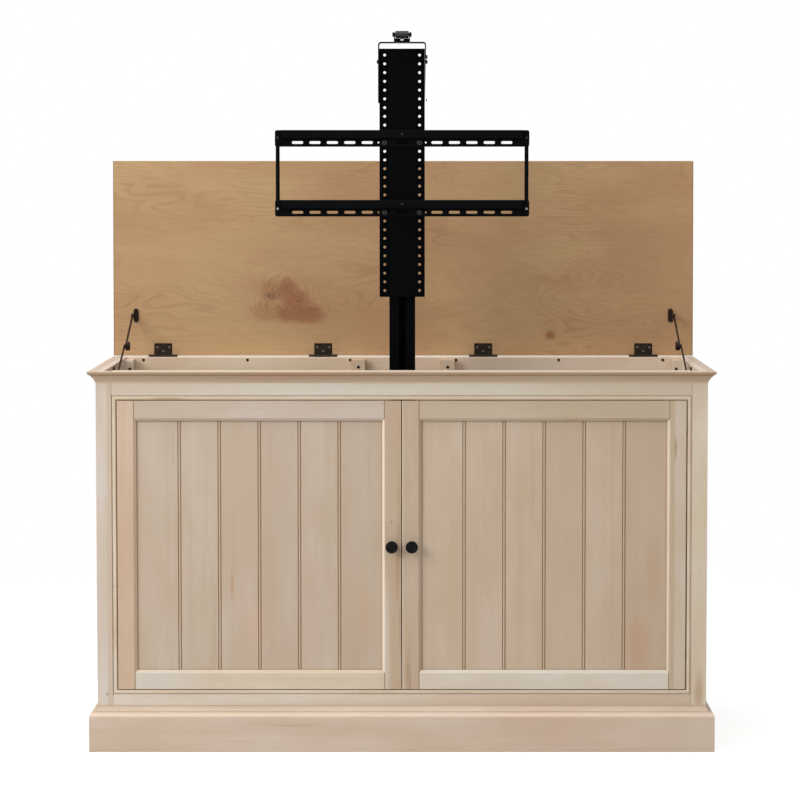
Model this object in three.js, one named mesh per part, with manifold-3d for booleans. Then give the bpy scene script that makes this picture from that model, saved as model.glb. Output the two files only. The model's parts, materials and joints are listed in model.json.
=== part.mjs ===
// Television lift cabinet: a beaded two-door cabinet with a hinged lid, and a telescopic lift mast inside.
// Millimetres, +X to the right, +Y into the cabinet, +Z up. It stands as photographed: lid open, lift raised.

import * as THREE from 'three';
import { mergeVertices } from 'three/addons/utils/BufferGeometryUtils.js';
import Module from 'manifold-3d';

const wasm = await Module();
wasm.setup();

// Overall sizes of the cabinet
const cabinetWidth = 1766;
const cabinetDepth = 590;
const rimHeight = 1076;
const mouldingReach = 22;
const jointGap = 0.3;
const overrun = 5;

// Carcass boards
const sideThickness = 22;
const bottomRise = 120.7;
const bottomThickness = 18;
const backThickness = 12;
const hingeRailDepth = 38;
const hingeRailHeight = 64;
const battenWidth = 42;
const battenThickness = 27;
const battenOffset = 135;
const battenDrop = 5;
const rimStretcherDepth = 25;
const rimStretcherHeight = 20;

// Face frame and the beaded frame inside it
const frameThickness = 20;
const faceStileWidth = 44;
const friezeShow = 35.5;
const sillShow = 30;
const beadFrameWidth = 12.5;
const beadQuirkWidth = 2;
const beadDepth = 3;

// Cornice and plinth
const corniceHeight = 32;
const plinthHeight = 129.5;
const plinthFaceHeight = 98.2;
const mouldingSteps = 6;

// Doors
const doorGap = 2.5;
const doorMemberWidth = 54;
const doorTopRailWidth = 58;
const chamferWidth = 7.5;
const chamferDepth = 6;
const chamferStep = 1.2;
const doorLip = 10;
const rebateWidth = 10;
const panelThickness = 8;
const plankPitch = 112.8;
const quirkSpacing = 7.6;
const quirkWidth = 2;
const quirkDepth = 2.2;
const knobHeight = 582;
const knobDiameter = 35;
const knobReach = 27;

// Concealed door hinges
const cupDiameter = 35;
const cupDepth = 12;
const cupFromEdge = 22;
const doorHingeInset = 95;
const doorArmHeight = 12;
const doorArmLength = 66;
const doorArmWidth = 20;
const doorFootThickness = 9;
const doorFootHeight = 46;
const doorArmTongueInset = 5;
const doorArmTongueDepth = 6.5;

// Lid and its butt hinges
const lidThickness = 20;
const lidGap = 0.5;
const lidBackGap = 1;
const lidEdgeRound = 4;
const lidOpenAngle = 91;
const hingeCount = 4;
const hingeFromSide = 107;
const leafThickness = 2.5;
const lidLeafWidth = 54;
const lidLeafLength = 37.3;
const rimLeafWidth = 87;
const rimLeafLength = 30;
const barrelRadius = 4;
const hingePinRadius = 1.9;
const runningClearance = 0.35;

// Folding lid stays
const stayLidDistance = 124;
const stayLidOffset = 13;
const stayPivotForward = 355;
const stayPivotDrop = 30;
const stayKnuckleDip = 4;
const stayArmWidth = 11;
const stayArmThickness = 3.5;
const stayPinRadius = 3;
const stayHeadRadius = 5;
const stayHeadThickness = 2;
const stayBossRadius = 13;
const stayBossLength = 10.5;
const stayPlateThickness = 3;
const stayBracketWidth = 24;
const stayBracketHeight = 62;
const stayBracketStandoff = 6.4;
const stayLidPlateWidth = 15;
const stayLidPlateLength = 42;

// Lift: perforated carriage plate
const plateWidth = 130;
const plateHeight = 712;
const plateBottom = 1277;
const plateFrontY = 195;
const sheetThickness = 3;
const plateFlangeDepth = 15;
const holePitch = 25;
const holeColumnSpacing = 100;
const holeRadius = 4.4;
const holeEndMargin = 12;

// Lift: television rails and the tie bars between them
const railLength = 730;
const railHeight = 47.6;
const railFlangeHeight = 23.4;
const railBandReach = 20;
const railBandInset = 20;
const railCornerRadius = 6;
const slotRowAboveRail = 12;
const slotLength = 33;
const slotWidth = 8.6;
const slotPitch = 50;
const firstSlotPlace = 100;
const slotEndMargin = 30;
const lowerRailRise = 225;
const railSpacing = 200;
const pilotHoleRadius = 2.5;
const pilotHoleOffset = 68;
const tieBarWidth = 11.5;
const tieBarInset = 2.5;

// Lift: bracket and roller that push the lid up
const lifterLegDrop = 155;
const lifterRise = 19;
const lifterStrap = 3.5;
const lifterBendRadius = 5;
const lifterLegDepth = 26;
const rollerRadius = 10.7;
const rollerLength = 39;
const rollerRise = 19;
const rollerY = 163;
const axleRadius = 4;
const yokeThickness = 3;
const yokeDepth = 30;
const webSlotLength = 9;
const webSlotWidth = 3;
const axleNutRadius = 6.5;
const axleNutLength = 4.5;
const nutSides = 6;

// Lift: telescopic mast
const liftStroke = 555;
const mastWall = 4;
const stageWall = 3;
const stageWidth = 74.5;
const stageDepth = 60;
const stageRunningGap = 1.75;
const stageSlot = 20;
const baseMouth = 60;
const baseTop = 880;
const mastBehindPlate = 4;
const stageBottomGap = 8;
const mastOverPlate = 168;
const sliderHeight = 150;
const sliderInset = 13;
const neckWidth = 15;
const footWidth = 220;
const footDepth = 210;
const footThickness = 8;
const motorRadius = 31;
const motorHeight = 230;
const gearboxHeight = 56;

// Derived places
const halfWidth = cabinetWidth / 2;
const halfCarcass = halfWidth - mouldingReach;
const innerHalf = halfCarcass - sideThickness;
const frameFront = mouldingReach;
const frameBack = frameFront + frameThickness;
const bottomTop = bottomRise + bottomThickness;
const backPanelFront = cabinetDepth - hingeRailDepth - backThickness;
const battenBack = backPanelFront - jointGap;
const friezeBottom = rimHeight - corniceHeight - friezeShow;
const sillTop = plinthHeight + sillShow;
const openingHalf = halfCarcass - faceStileWidth;
const doorwayHalf = openingHalf - beadFrameWidth;
const doorOuter = doorwayHalf - doorGap;
const doorInner = doorGap / 2;
const plankCount = Math.round((doorOuter - doorInner - 2 * doorMemberWidth) / plankPitch);
const doorTop = friezeBottom - beadFrameWidth - doorGap;
const doorBottom = sillTop + beadFrameWidth + doorGap;
const rebateEdge = doorMemberWidth - rebateWidth;
const hingeAxisY = cabinetDepth + barrelRadius + jointGap;
const hingeAxisZ = rimHeight + lidGap / 2;
const openTurn = THREE.MathUtils.degToRad(lidOpenAngle);

// Materials
const looks = {
  wood: new THREE.MeshStandardMaterial({ color: 0xd4c0a8, roughness: 0.72, metalness: 0 }),
  ply: new THREE.MeshStandardMaterial({ color: 0xb58f5f, roughness: 0.68, metalness: 0 }),
  bronze: new THREE.MeshStandardMaterial({ color: 0x2c2019, roughness: 0.45, metalness: 0.8 }),
  steel: new THREE.MeshStandardMaterial({ color: 0x15161a, roughness: 0.5, metalness: 0.4 }),
  knob: new THREE.MeshStandardMaterial({ color: 0x16140f, roughness: 0.55, metalness: 0.6 }),
  rubber: new THREE.MeshStandardMaterial({ color: 0x1b1c1c, roughness: 0.7, metalness: 0 }),
};

// Solids, and how they join and cut
function solid(geometry) {
  geometry.deleteAttribute('normal');
  geometry.deleteAttribute('uv');
  const merged = mergeVertices(geometry);
  return new wasm.Manifold(new wasm.Mesh({
    numProp: 3,
    vertProperties: new Float32Array(merged.attributes.position.array),
    triVerts: new Uint32Array(merged.index.array),
  }));
}

function mesh(name, body, material) {
  const data = body.getMesh();
  const geometry = new THREE.BufferGeometry();
  geometry.setAttribute('position', new THREE.BufferAttribute(data.vertProperties, data.numProp));
  geometry.setIndex(new THREE.BufferAttribute(data.triVerts, 1));
  geometry.computeVertexNormals();
  const result = new THREE.Mesh(geometry, material);
  result.name = name;
  return result;
}

function join(first, ...others) {
  return others.reduce((whole, piece) => whole.add(piece), first);
}

function cut(first, ...others) {
  return others.reduce((whole, piece) => whole.subtract(piece), first);
}

// A block between two corners
function block(low, high) {
  const size = high.map((value, axis) => value - low[axis]);
  const centre = high.map((value, axis) => (value + low[axis]) / 2);
  return solid(new THREE.BoxGeometry(...size).translate(...centre));
}

// Outlines of [across, up] points, and the three ways to give them a length
function outline(points) {
  return new THREE.Shape(points.map(([across, up]) => new THREE.Vector2(across, up)));
}

function extrude(shape, depth, curveSegments = mouldingSteps) {
  return new THREE.ExtrudeGeometry(shape, { depth, bevelEnabled: false, curveSegments });
}

const alongX = new THREE.Matrix4().makeBasis(
  new THREE.Vector3(0, 1, 0), new THREE.Vector3(0, 0, 1), new THREE.Vector3(1, 0, 0));
const alongY = new THREE.Matrix4().makeBasis(
  new THREE.Vector3(1, 0, 0), new THREE.Vector3(0, 0, 1), new THREE.Vector3(0, -1, 0));

// An outline of (y, z) points that runs from x low to x high
function barAlongX(shape, low, high, segments) {
  return solid(extrude(shape, high - low, segments).applyMatrix4(alongX).translate(low, 0, 0));
}

// An outline of (x, z) points that runs from y low to y high
function slabAlongY(shape, low, high, segments) {
  return solid(extrude(shape, high - low, segments).applyMatrix4(alongY).translate(0, high, 0));
}

// An outline of (x, y) points that runs from z low to z high
function postAlongZ(shape, low, high, segments) {
  return solid(extrude(shape, high - low, segments).translate(0, 0, low));
}

// A round bar along X around the line through (y, z)
function rodAlongX(radius, low, high, y, z, sides) {
  const rod = new THREE.CylinderGeometry(radius, radius, high - low, sides);
  return solid(rod.rotateZ(Math.PI / 2).translate((low + high) / 2, y, z));
}

// Points of a quarter ellipse from (start) to (end), bulging along the first or the second direction
function quarter([startAcross, startUp], [endAcross, endUp], bulgesAcross) {
  const points = [];
  for (let step = 0; step <= mouldingSteps; step += 1) {
    const turn = (step / mouldingSteps) * (Math.PI / 2);
    const acrossShare = bulgesAcross ? 1 - Math.cos(turn) : Math.sin(turn);
    const upShare = bulgesAcross ? Math.sin(turn) : 1 - Math.cos(turn);
    points.push([
      startAcross + (endAcross - startAcross) * acrossShare,
      startUp + (endUp - startUp) * upShare,
    ]);
  }
  return points;
}

// Points of a nearly straight slope from (start) to (end), hollowed by (sag) at its middle
function hollowed([startAcross, startUp], [endAcross, endUp], sag) {
  const length = Math.hypot(endAcross - startAcross, endUp - startUp);
  const inwards = [(endUp - startUp) / length, (startAcross - endAcross) / length];
  const points = [];
  for (let step = 0; step <= mouldingSteps; step += 1) {
    const share = step / mouldingSteps;
    const depth = sag * Math.sin(share * Math.PI);
    points.push([
      startAcross + (endAcross - startAcross) * share + inwards[0] * depth,
      startUp + (endUp - startUp) * share + inwards[1] * depth,
    ]);
  }
  return points;
}

function moveVertices(geometry, move) {
  const position = geometry.attributes.position;
  const vertex = new THREE.Vector3();
  for (let index = 0; index < position.count; index += 1) {
    vertex.fromBufferAttribute(position, index);
    move(vertex);
    position.setXYZ(index, vertex.x, vertex.y, vertex.z);
  }
}

// A distance range on one side of the cabinet's middle, as [low x, high x]
function acrossSide(side, near, far) {
  return [Math.min(side * near, side * far), Math.max(side * near, side * far)];
}

const sides = [['left', -1], ['right', 1]];
const cabinet = new THREE.Group();

// Cornice and plinth mouldings: outlines of [reach from the carcass, height], mitred at the front corners
const corniceOvoloReachShare = 0.3;
const corniceOvoloDropShare = 0.3;
const corniceQuirkReachShare = 0.1;
const corniceQuirkDropShare = 0.08;
const corniceSlopeReachShare = 0.54;
const corniceSlopeDropShare = 0.52;
const corniceSlopeSag = 1.2;

function corniceOutline() {
  const step = (from, reachShare, dropShare) => [
    from[0] - mouldingReach * reachShare, from[1] - corniceHeight * dropShare];
  const edge = [mouldingReach, rimHeight];
  const ovolo = step(edge, corniceOvoloReachShare, corniceOvoloDropShare);
  const quirk = step(ovolo, corniceQuirkReachShare, corniceQuirkDropShare);
  const slope = step(quirk, corniceSlopeReachShare, corniceSlopeDropShare);
  return [
    [jointGap, rimHeight],
    ...quarter(edge, ovolo, true),
    [quirk[0], ovolo[1]],
    ...hollowed(quirk, slope, corniceSlopeSag),
    [slope[0], rimHeight - corniceHeight],
    [jointGap, rimHeight - corniceHeight],
  ];
}

const plinthOvoloReachShare = 0.68;
const plinthOvoloRiseShare = 0.44;
const plinthFilletRiseShare = 0.09;

function plinthOutline() {
  const rise = plinthHeight - plinthFaceHeight;
  const ovolo = [mouldingReach * (1 - plinthOvoloReachShare), plinthFaceHeight + rise * plinthOvoloRiseShare];
  const fillet = [ovolo[0], ovolo[1] + rise * plinthFilletRiseShare];
  return [
    [jointGap, 0],
    [mouldingReach, 0],
    ...quarter([mouldingReach, plinthFaceHeight], ovolo, true),
    ...quarter(fillet, [jointGap, plinthHeight], false),
  ];
}

// A unit length of the outline is stretched to its ends, which lean with the mitre and leave its gap open
function frontMoulding(points) {
  const shape = outline(points.map(([reach, up]) => [frameFront - reach, up]));
  const length = extrude(shape, 1).applyMatrix4(alongX);
  moveVertices(length, (vertex) => {
    const reach = frameFront - vertex.y;
    vertex.x = (vertex.x > 0 ? 1 : -1) * (halfCarcass + reach - jointGap / 2);
  });
  return solid(length);
}

function sideMoulding(points, side) {
  const shape = outline(points.map(([reach, up]) => [side * (halfCarcass + reach), up]));
  const length = extrude(shape, 1).applyMatrix4(alongY);
  moveVertices(length, (vertex) => {
    const reach = Math.abs(vertex.x) - halfCarcass;
    vertex.y = vertex.y < 0 ? frameFront - reach + jointGap / 2 : cabinetDepth;
  });
  return solid(length);
}

for (const [prefix, points] of [['cornice', corniceOutline()], ['plinth', plinthOutline()]]) {
  cabinet.add(mesh(`${prefix}_front`, frontMoulding(points), looks.wood));
  for (const [sideName, side] of sides) {
    cabinet.add(mesh(`${prefix}_${sideName}`, sideMoulding(points, side), looks.wood));
  }
}

// Carcass: sides with their corner battens, bottom, back, hinge rail and centre battens
function sidePanel(side) {
  const [boardLow, boardHigh] = acrossSide(side, innerHalf, halfCarcass);
  const battenInner = innerHalf - battenThickness;
  const [battenLow, battenHigh] = acrossSide(side, battenInner, innerHalf + sideThickness / 2);
  return join(
    block([boardLow, frameBack + jointGap, 0], [boardHigh, cabinetDepth, rimHeight]),
    block(
      [battenLow, battenBack - battenWidth, bottomTop + jointGap],
      [battenHigh, battenBack, rimHeight - battenDrop]));
}

for (const [sideName, side] of sides) {
  cabinet.add(mesh(`side_panel_${sideName}`, sidePanel(side), looks.wood));
}

const panelHalf = innerHalf - jointGap;
cabinet.add(mesh('bottom_panel', block(
  [-panelHalf, frameBack + jointGap, bottomRise],
  [panelHalf, cabinetDepth, bottomTop]), looks.ply));
cabinet.add(mesh('back_panel', block(
  [-panelHalf, backPanelFront, bottomTop + jointGap],
  [panelHalf, backPanelFront + backThickness - jointGap, rimHeight]), looks.ply));

for (const [sideName, side] of sides) {
  const centre = side * battenOffset;
  cabinet.add(mesh(`back_batten_${sideName}`, block(
    [centre - battenWidth / 2, battenBack - battenThickness, bottomTop + jointGap],
    [centre + battenWidth / 2, battenBack, rimHeight - battenDrop]), looks.wood));
}

// Places of the lid hinges along the back of the rim
const hingePlaces = [];
const hingeSpacing = (2 * (innerHalf - hingeFromSide)) / (hingeCount - 1);
for (let index = 0; index < hingeCount; index += 1) {
  hingePlaces.push((index - (hingeCount - 1) / 2) * hingeSpacing);
}

function hingeRail() {
  const half = rimLeafWidth / 2 + jointGap;
  const front = cabinetDepth - rimLeafLength - jointGap;
  const mortises = hingePlaces.map((x) => block(
    [x - half, front, rimHeight - leafThickness - jointGap],
    [x + half, cabinetDepth + overrun, rimHeight + overrun]));
  const rail = block(
    [-panelHalf, cabinetDepth - hingeRailDepth, rimHeight - hingeRailHeight],
    [panelHalf, cabinetDepth, rimHeight]);
  return cut(rail, ...mortises);
}
cabinet.add(mesh('hinge_rail', hingeRail(), looks.wood));

// Face frame: stiles, frieze rail with its rim stretcher, and sill rail
for (const [sideName, side] of sides) {
  const [low, high] = acrossSide(side, openingHalf + jointGap, halfCarcass);
  cabinet.add(mesh(`face_stile_${sideName}`, block(
    [low, frameFront, 0],
    [high, frameBack, rimHeight]), looks.wood));
}

function friezeRail() {
  const stretcherBack = frameBack + rimStretcherDepth;
  return barAlongX(outline([
    [frameFront, friezeBottom],
    [frameBack, friezeBottom],
    [frameBack, rimHeight - rimStretcherHeight],
    [stretcherBack, rimHeight - rimStretcherHeight],
    [stretcherBack, rimHeight],
    [frameFront, rimHeight],
  ]), -openingHalf, openingHalf);
}
cabinet.add(mesh('frieze_rail', friezeRail(), looks.wood));
cabinet.add(mesh('sill_rail', block(
  [-openingHalf, frameFront, plinthHeight - sillShow],
  [openingHalf, frameBack, sillTop]), looks.wood));

// Beaded frame inside the face frame: four mitred strips glued up as one, a quirk and a round bead in front
function beadFrame() {
  const inner = beadFrameWidth - jointGap;
  const beadRadius = (inner - beadQuirkWidth) / 2;
  const bead = [];
  for (let step = 0; step <= mouldingSteps; step += 1) {
    const turn = Math.PI * (step / mouldingSteps);
    bead.push([inner - beadRadius * (1 - Math.cos(turn)), beadDepth * (1 - Math.sin(turn))]);
  }
  const points = [[0, beadDepth], [0, frameThickness], [inner, frameThickness], ...bead, [0, beadDepth]];
  const halfAcross = openingHalf - jointGap;
  const halfUp = (friezeBottom - sillTop) / 2 - jointGap;
  const ring = new THREE.LatheGeometry(
    points.map(([inset, depth]) => new THREE.Vector2((halfUp - inset) * Math.SQRT2, frameFront + depth)),
    4, Math.PI / 4);
  moveVertices(ring, (vertex) => {
    vertex.x += Math.sign(vertex.x) * (halfAcross - halfUp);
  });
  return solid(ring.translate(0, 0, (friezeBottom + sillTop) / 2));
}
cabinet.add(mesh('door_bead_frame', beadFrame(), looks.wood));

// Lid hinges: the wide leaf and its pin sit in the rim, the narrow leaf turns with the lid
const knuckleSides = 12;
const pinSides = 10;

function rimLeaf(x) {
  const half = rimLeafWidth / 2;
  const plate = block(
    [x - half, cabinetDepth - rimLeafLength, rimHeight - leafThickness],
    [x + half, hingeAxisY, rimHeight]);
  const middle = lidLeafWidth / 2 + jointGap;
  const notch = block(
    [x - middle, cabinetDepth, rimHeight - leafThickness - overrun],
    [x + middle, hingeAxisY + overrun, rimHeight + overrun]);
  const knuckles = [-1, 1].map((end) => rodAlongX(
    barrelRadius,
    x + Math.min(end * middle, end * half),
    x + Math.max(end * middle, end * half),
    hingeAxisY, hingeAxisZ, knuckleSides));
  const pin = rodAlongX(hingePinRadius, x - half, x + half, hingeAxisY, hingeAxisZ, pinSides);
  return join(cut(plate, notch), ...knuckles, pin);
}

hingePlaces.forEach((x, index) => {
  cabinet.add(mesh(`rim_hinge_leaf_${index + 1}`, rimLeaf(x), looks.bronze));
});

// Folding stays: pivots in the plane across the cabinet, as (y, z)
const stayLower = new THREE.Vector2(hingeAxisY - stayPivotForward, rimHeight - stayPivotDrop);
const stayUpper = new THREE.Vector2(
  hingeAxisY - stayLidDistance * Math.cos(openTurn) - stayLidOffset * Math.sin(openTurn),
  hingeAxisZ + stayLidDistance * Math.sin(openTurn) - stayLidOffset * Math.cos(openTurn));
const stayLine = stayLower.clone().sub(stayUpper);
const stayDown = new THREE.Vector2(-stayLine.y, stayLine.x).normalize();
const stayKnuckle = stayUpper.clone().lerp(stayLower, 1 / 2).addScaledVector(stayDown, stayKnuckleDip);
const stayHoleRadius = stayPinRadius + runningClearance;
const staySides = 12;

// Distances of the stay's layers from the cabinet's middle, from the wall inwards
const stayWall = innerHalf - jointGap;
const stayPlateFace = stayWall - stayPlateThickness;
const lowerArmOuter = stayPlateFace - stayBracketStandoff;
const lowerArmInner = lowerArmOuter - stayArmThickness;
const upperArmOuter = lowerArmInner - jointGap;
const upperArmInner = upperArmOuter - stayArmThickness;

function stayBracket(side) {
  const [plateLow, plateHigh] = acrossSide(side, stayWall, stayPlateFace);
  const plate = block(
    [plateLow, stayLower.x - stayBracketWidth / 2, rimHeight - stayBracketHeight],
    [plateHigh, stayLower.x + stayBracketWidth / 2, rimHeight - battenDrop]);
  const headOuter = lowerArmInner - jointGap;
  const rod = (radius, near, far) => rodAlongX(
    radius, ...acrossSide(side, near, far), stayLower.x, stayLower.y, staySides);
  return join(
    plate,
    rod(stayHeadRadius, stayPlateFace + stayPlateThickness / 2, lowerArmOuter + jointGap),
    rod(stayPinRadius, stayPlateFace, headOuter - stayHeadThickness / 2),
    rod(stayHeadRadius, headOuter, headOuter - stayHeadThickness));
}

for (const [sideName, side] of sides) {
  cabinet.add(mesh(`stay_bracket_${sideName}`, stayBracket(side), looks.bronze));
}

// An arm of the stay: a strip with round ends, drilled at its pivot, that runs along +Y from there
function stayArm(length, low, high) {
  const half = stayArmWidth / 2;
  const shape = new THREE.Shape();
  shape.absarc(0, 0, half, Math.PI / 2, Math.PI * 3 / 2, false);
  shape.absarc(length, 0, half, -Math.PI / 2, Math.PI / 2, false);
  const hole = new THREE.Path();
  hole.absarc(0, 0, stayHoleRadius, 0, Math.PI * 2, true);
  shape.holes.push(hole);
  return barAlongX(shape, low, high);
}

function placeStayArm(name, arm, pivot, end) {
  const holder = new THREE.Group();
  const direction = end.clone().sub(pivot);
  holder.position.set(0, pivot.x, pivot.y);
  holder.rotation.x = Math.atan2(direction.y, direction.x);
  holder.add(mesh(name, arm, looks.bronze));
  return holder;
}

for (const [sideName, side] of sides) {
  const lowerLength = stayKnuckle.distanceTo(stayLower);
  const lowerArm = stayArm(lowerLength, ...acrossSide(side, lowerArmOuter, lowerArmInner));
  cabinet.add(placeStayArm(`stay_lower_arm_${sideName}`, lowerArm, stayLower, stayKnuckle));
  const upperLength = stayKnuckle.distanceTo(stayUpper);
  const upperArm = stayArm(upperLength, ...acrossSide(side, upperArmOuter, upperArmInner));
  const bossRange = acrossSide(side, upperArmInner + stayArmThickness / 2, upperArmInner - stayBossLength);
  const boss = rodAlongX(stayBossRadius, ...bossRange, upperLength, 0, staySides);
  cabinet.add(placeStayArm(`stay_upper_arm_${sideName}`, join(upperArm, boss), stayUpper, stayKnuckle));
}

// Lid, drawn closed around its hinge axis and then turned open
const lid = new THREE.Group();
lid.position.set(0, hingeAxisY, hingeAxisZ);
lid.rotation.x = -openTurn;
cabinet.add(lid);

const lidUnder = lidGap / 2;
const lidBack = -lidBackGap;
const lidFront = -hingeAxisY;

function lidBoard() {
  const roundTop = quarter([lidFront + lidEdgeRound, lidUnder + lidThickness],
    [lidFront, lidUnder + lidThickness - lidEdgeRound], false);
  const roundBottom = quarter([lidFront, lidUnder + lidEdgeRound], [lidFront + lidEdgeRound, lidUnder], true);
  const board = barAlongX(outline([
    [lidBack, lidUnder],
    [lidBack, lidUnder + lidThickness],
    ...roundTop,
    ...roundBottom,
  ]), -halfWidth, halfWidth);
  const half = lidLeafWidth / 2 + jointGap;
  const mortises = hingePlaces.map((x) => block(
    [x - half, lidBack - lidLeafLength - jointGap, lidUnder - overrun],
    [x + half, lidBack + overrun, lidUnder + leafThickness + jointGap]));
  const notchHalf = rimLeafWidth / 2 + jointGap;
  const notchReach = barrelRadius + runningClearance;
  const notches = hingePlaces.map((x) => block(
    [x - notchHalf, -notchReach, lidUnder - overrun],
    [x + notchHalf, overrun, notchReach]));
  return cut(board, ...mortises, ...notches);
}
lid.add(mesh('lid_board', lidBoard(), looks.ply));

function lidLeaf(x) {
  const half = lidLeafWidth / 2;
  const plate = block(
    [x - half, lidBack - lidLeafLength, lidUnder],
    [x + half, 0, lidUnder + leafThickness]);
  const barrel = rodAlongX(barrelRadius, x - half, x + half, 0, 0, knuckleSides);
  const boreRadius = hingePinRadius + runningClearance;
  const bore = rodAlongX(boreRadius, x - half - overrun, x + half + overrun, 0, 0, pinSides);
  return cut(join(plate, barrel), bore);
}

hingePlaces.forEach((x, index) => {
  lid.add(mesh(`lid_hinge_leaf_${index + 1}`, lidLeaf(x), looks.bronze));
});

// Oval plate on the lid that carries the upper arm's pivot pin on an ear
function stayLidPlate(side) {
  const plateFace = lidUnder - jointGap;
  const earOuter = upperArmInner - jointGap;
  const earInner = earOuter - stayPlateThickness;
  const halfOval = stayLidPlateWidth / 2;
  const reach = stayLidPlateLength / 2 - halfOval;
  const middle = side * (earOuter - halfOval);
  const shape = new THREE.Shape();
  shape.absarc(middle, -stayLidDistance - reach, halfOval, Math.PI, Math.PI * 2, false);
  shape.absarc(middle, -stayLidDistance + reach, halfOval, 0, Math.PI, false);
  const plate = postAlongZ(shape, plateFace - stayPlateThickness, plateFace);
  const ear = new THREE.Shape();
  ear.moveTo(-stayLidDistance - reach, plateFace - stayPlateThickness / 2);
  ear.lineTo(-stayLidDistance - stayHeadRadius, -stayLidOffset);
  ear.absarc(-stayLidDistance, -stayLidOffset, stayHeadRadius, Math.PI, Math.PI * 2, false);
  ear.lineTo(-stayLidDistance + reach, plateFace - stayPlateThickness / 2);
  const [earLow, earHigh] = acrossSide(side, earOuter, earInner);
  const web = barAlongX(ear, earLow, earHigh);
  const headOuter = upperArmOuter + jointGap + stayHeadThickness;
  const [pinLow, pinHigh] = acrossSide(side, earOuter, headOuter);
  const pin = rodAlongX(stayPinRadius, pinLow, pinHigh, -stayLidDistance, -stayLidOffset, staySides);
  const [headLow, headHigh] = acrossSide(side, upperArmOuter + jointGap, headOuter);
  const head = rodAlongX(stayHeadRadius, headLow, headHigh, -stayLidDistance, -stayLidOffset, staySides);
  return join(plate, web, pin, head);
}

for (const [sideName, side] of sides) {
  lid.add(mesh(`stay_lid_plate_${sideName}`, stayLidPlate(side), looks.bronze));
}

// Doors: stiles and rails with a chamfer in front and a rebate behind, outlines as [from the edge, depth]
function memberOutline(edge) {
  return [
    [0, 0],
    [edge - chamferWidth, 0],
    [edge - chamferWidth, chamferStep],
    [edge, chamferDepth],
    [edge, doorLip],
    [edge - rebateWidth, doorLip],
    [edge - rebateWidth, frameThickness],
    [0, frameThickness],
  ];
}

function doorStile(side, edge, inwards, low, high, grow) {
  const shape = outline(memberOutline(doorMemberWidth + grow)
    .map(([across, depth]) => [side * (edge + inwards * across), frameFront + depth]));
  return postAlongZ(shape, low, high);
}

function doorHinges() {
  return [['lower', doorBottom + doorHingeInset], ['upper', doorTop - doorHingeInset]];
}

function cupPocket(side, z) {
  const cup = new THREE.CylinderGeometry(cupDiameter / 2, cupDiameter / 2, cupDepth + overrun, staySides * 2);
  return solid(cup.translate(side * (doorOuter - cupFromEdge), frameBack + (overrun - cupDepth) / 2, z));
}

// A rail runs between the stiles and is coped over their chamfers
function doorRail(side, edge, inwards, width) {
  const length = barAlongX(
    outline(memberOutline(width).map(([across, depth]) => [frameFront + depth, edge + inwards * across])),
    ...acrossSide(side, doorInner + overrun, doorOuter - overrun));
  const cope = (stileEdge, way) => doorStile(
    side, stileEdge - way * overrun, way, doorBottom - overrun, doorTop + overrun, jointGap + overrun);
  return cut(length, cope(doorOuter, -1), cope(doorInner, 1));
}

function beadboard(side) {
  const inset = rebateEdge + jointGap;
  const low = doorInner + inset;
  const high = doorOuter - inset;
  const front = frameFront + doorLip + jointGap;
  const middle = (doorInner + doorOuter) / 2;
  const face = [];
  for (let plank = 1; plank < plankCount; plank += 1) {
    const centre = middle + (plank - plankCount / 2) * plankPitch;
    const outer = (quirkSpacing + quirkWidth) / 2;
    const beadHalf = (quirkSpacing - quirkWidth) / 2;
    face.push([centre - outer, front], [centre - quirkSpacing / 2, front + quirkDepth]);
    for (let step = 0; step <= mouldingSteps; step += 1) {
      const turn = Math.PI * (step / mouldingSteps);
      face.push([centre - beadHalf * Math.cos(turn), front + quirkDepth * (1 - Math.sin(turn))]);
    }
    face.push([centre + quirkSpacing / 2, front + quirkDepth], [centre + outer, front]);
  }
  const back = front + panelThickness - jointGap;
  const shape = outline([[low, front], ...face, [high, front], [high, back], [low, back]]
    .map(([across, depth]) => [side * across, depth]));
  return postAlongZ(shape, doorBottom + inset, doorTop - inset - doorTopRailWidth + doorMemberWidth);
}

// Round knob: shares of its radius and of its reach from the door, turned about its own axis
const knobShares = [
  [0, 0], [0.43, 0], [0.43, 0.34], [0.6, 0.48], [0.88, 0.58], [1, 0.72],
  [1, 0.88], [0.93, 1], [0.8, 1], [0.73, 0.93], [0.4, 0.97], [0, 0.98]];
const turnedSides = 20;

function knob(side) {
  const turned = new THREE.LatheGeometry(
    knobShares.map(([across, out]) => new THREE.Vector2(
      across * knobDiameter / 2, jointGap + out * (knobReach - jointGap))),
    turnedSides);
  const x = side * (doorInner + doorMemberWidth / 2);
  return solid(turned.rotateX(Math.PI).translate(x, frameFront, knobHeight));
}

for (const [sideName, side] of sides) {
  const prefix = `${sideName}_door`;
  const pockets = doorHinges().map(([, z]) => cupPocket(side, z));
  const outerStile = cut(doorStile(side, doorOuter, -1, doorBottom, doorTop, 0), ...pockets);
  const innerStile = doorStile(side, doorInner, 1, doorBottom, doorTop, 0);
  cabinet.add(mesh(`${prefix}_outer_stile`, outerStile, looks.wood));
  cabinet.add(mesh(`${prefix}_inner_stile`, innerStile, looks.wood));
  cabinet.add(mesh(`${prefix}_top_rail`, doorRail(side, doorTop, -1, doorTopRailWidth), looks.wood));
  cabinet.add(mesh(`${prefix}_bottom_rail`, doorRail(side, doorBottom, 1, doorMemberWidth), looks.wood));
  cabinet.add(mesh(`${prefix}_panel`, beadboard(side), looks.wood));
  cabinet.add(mesh(`${prefix}_knob`, knob(side), looks.knob));
}

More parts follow.
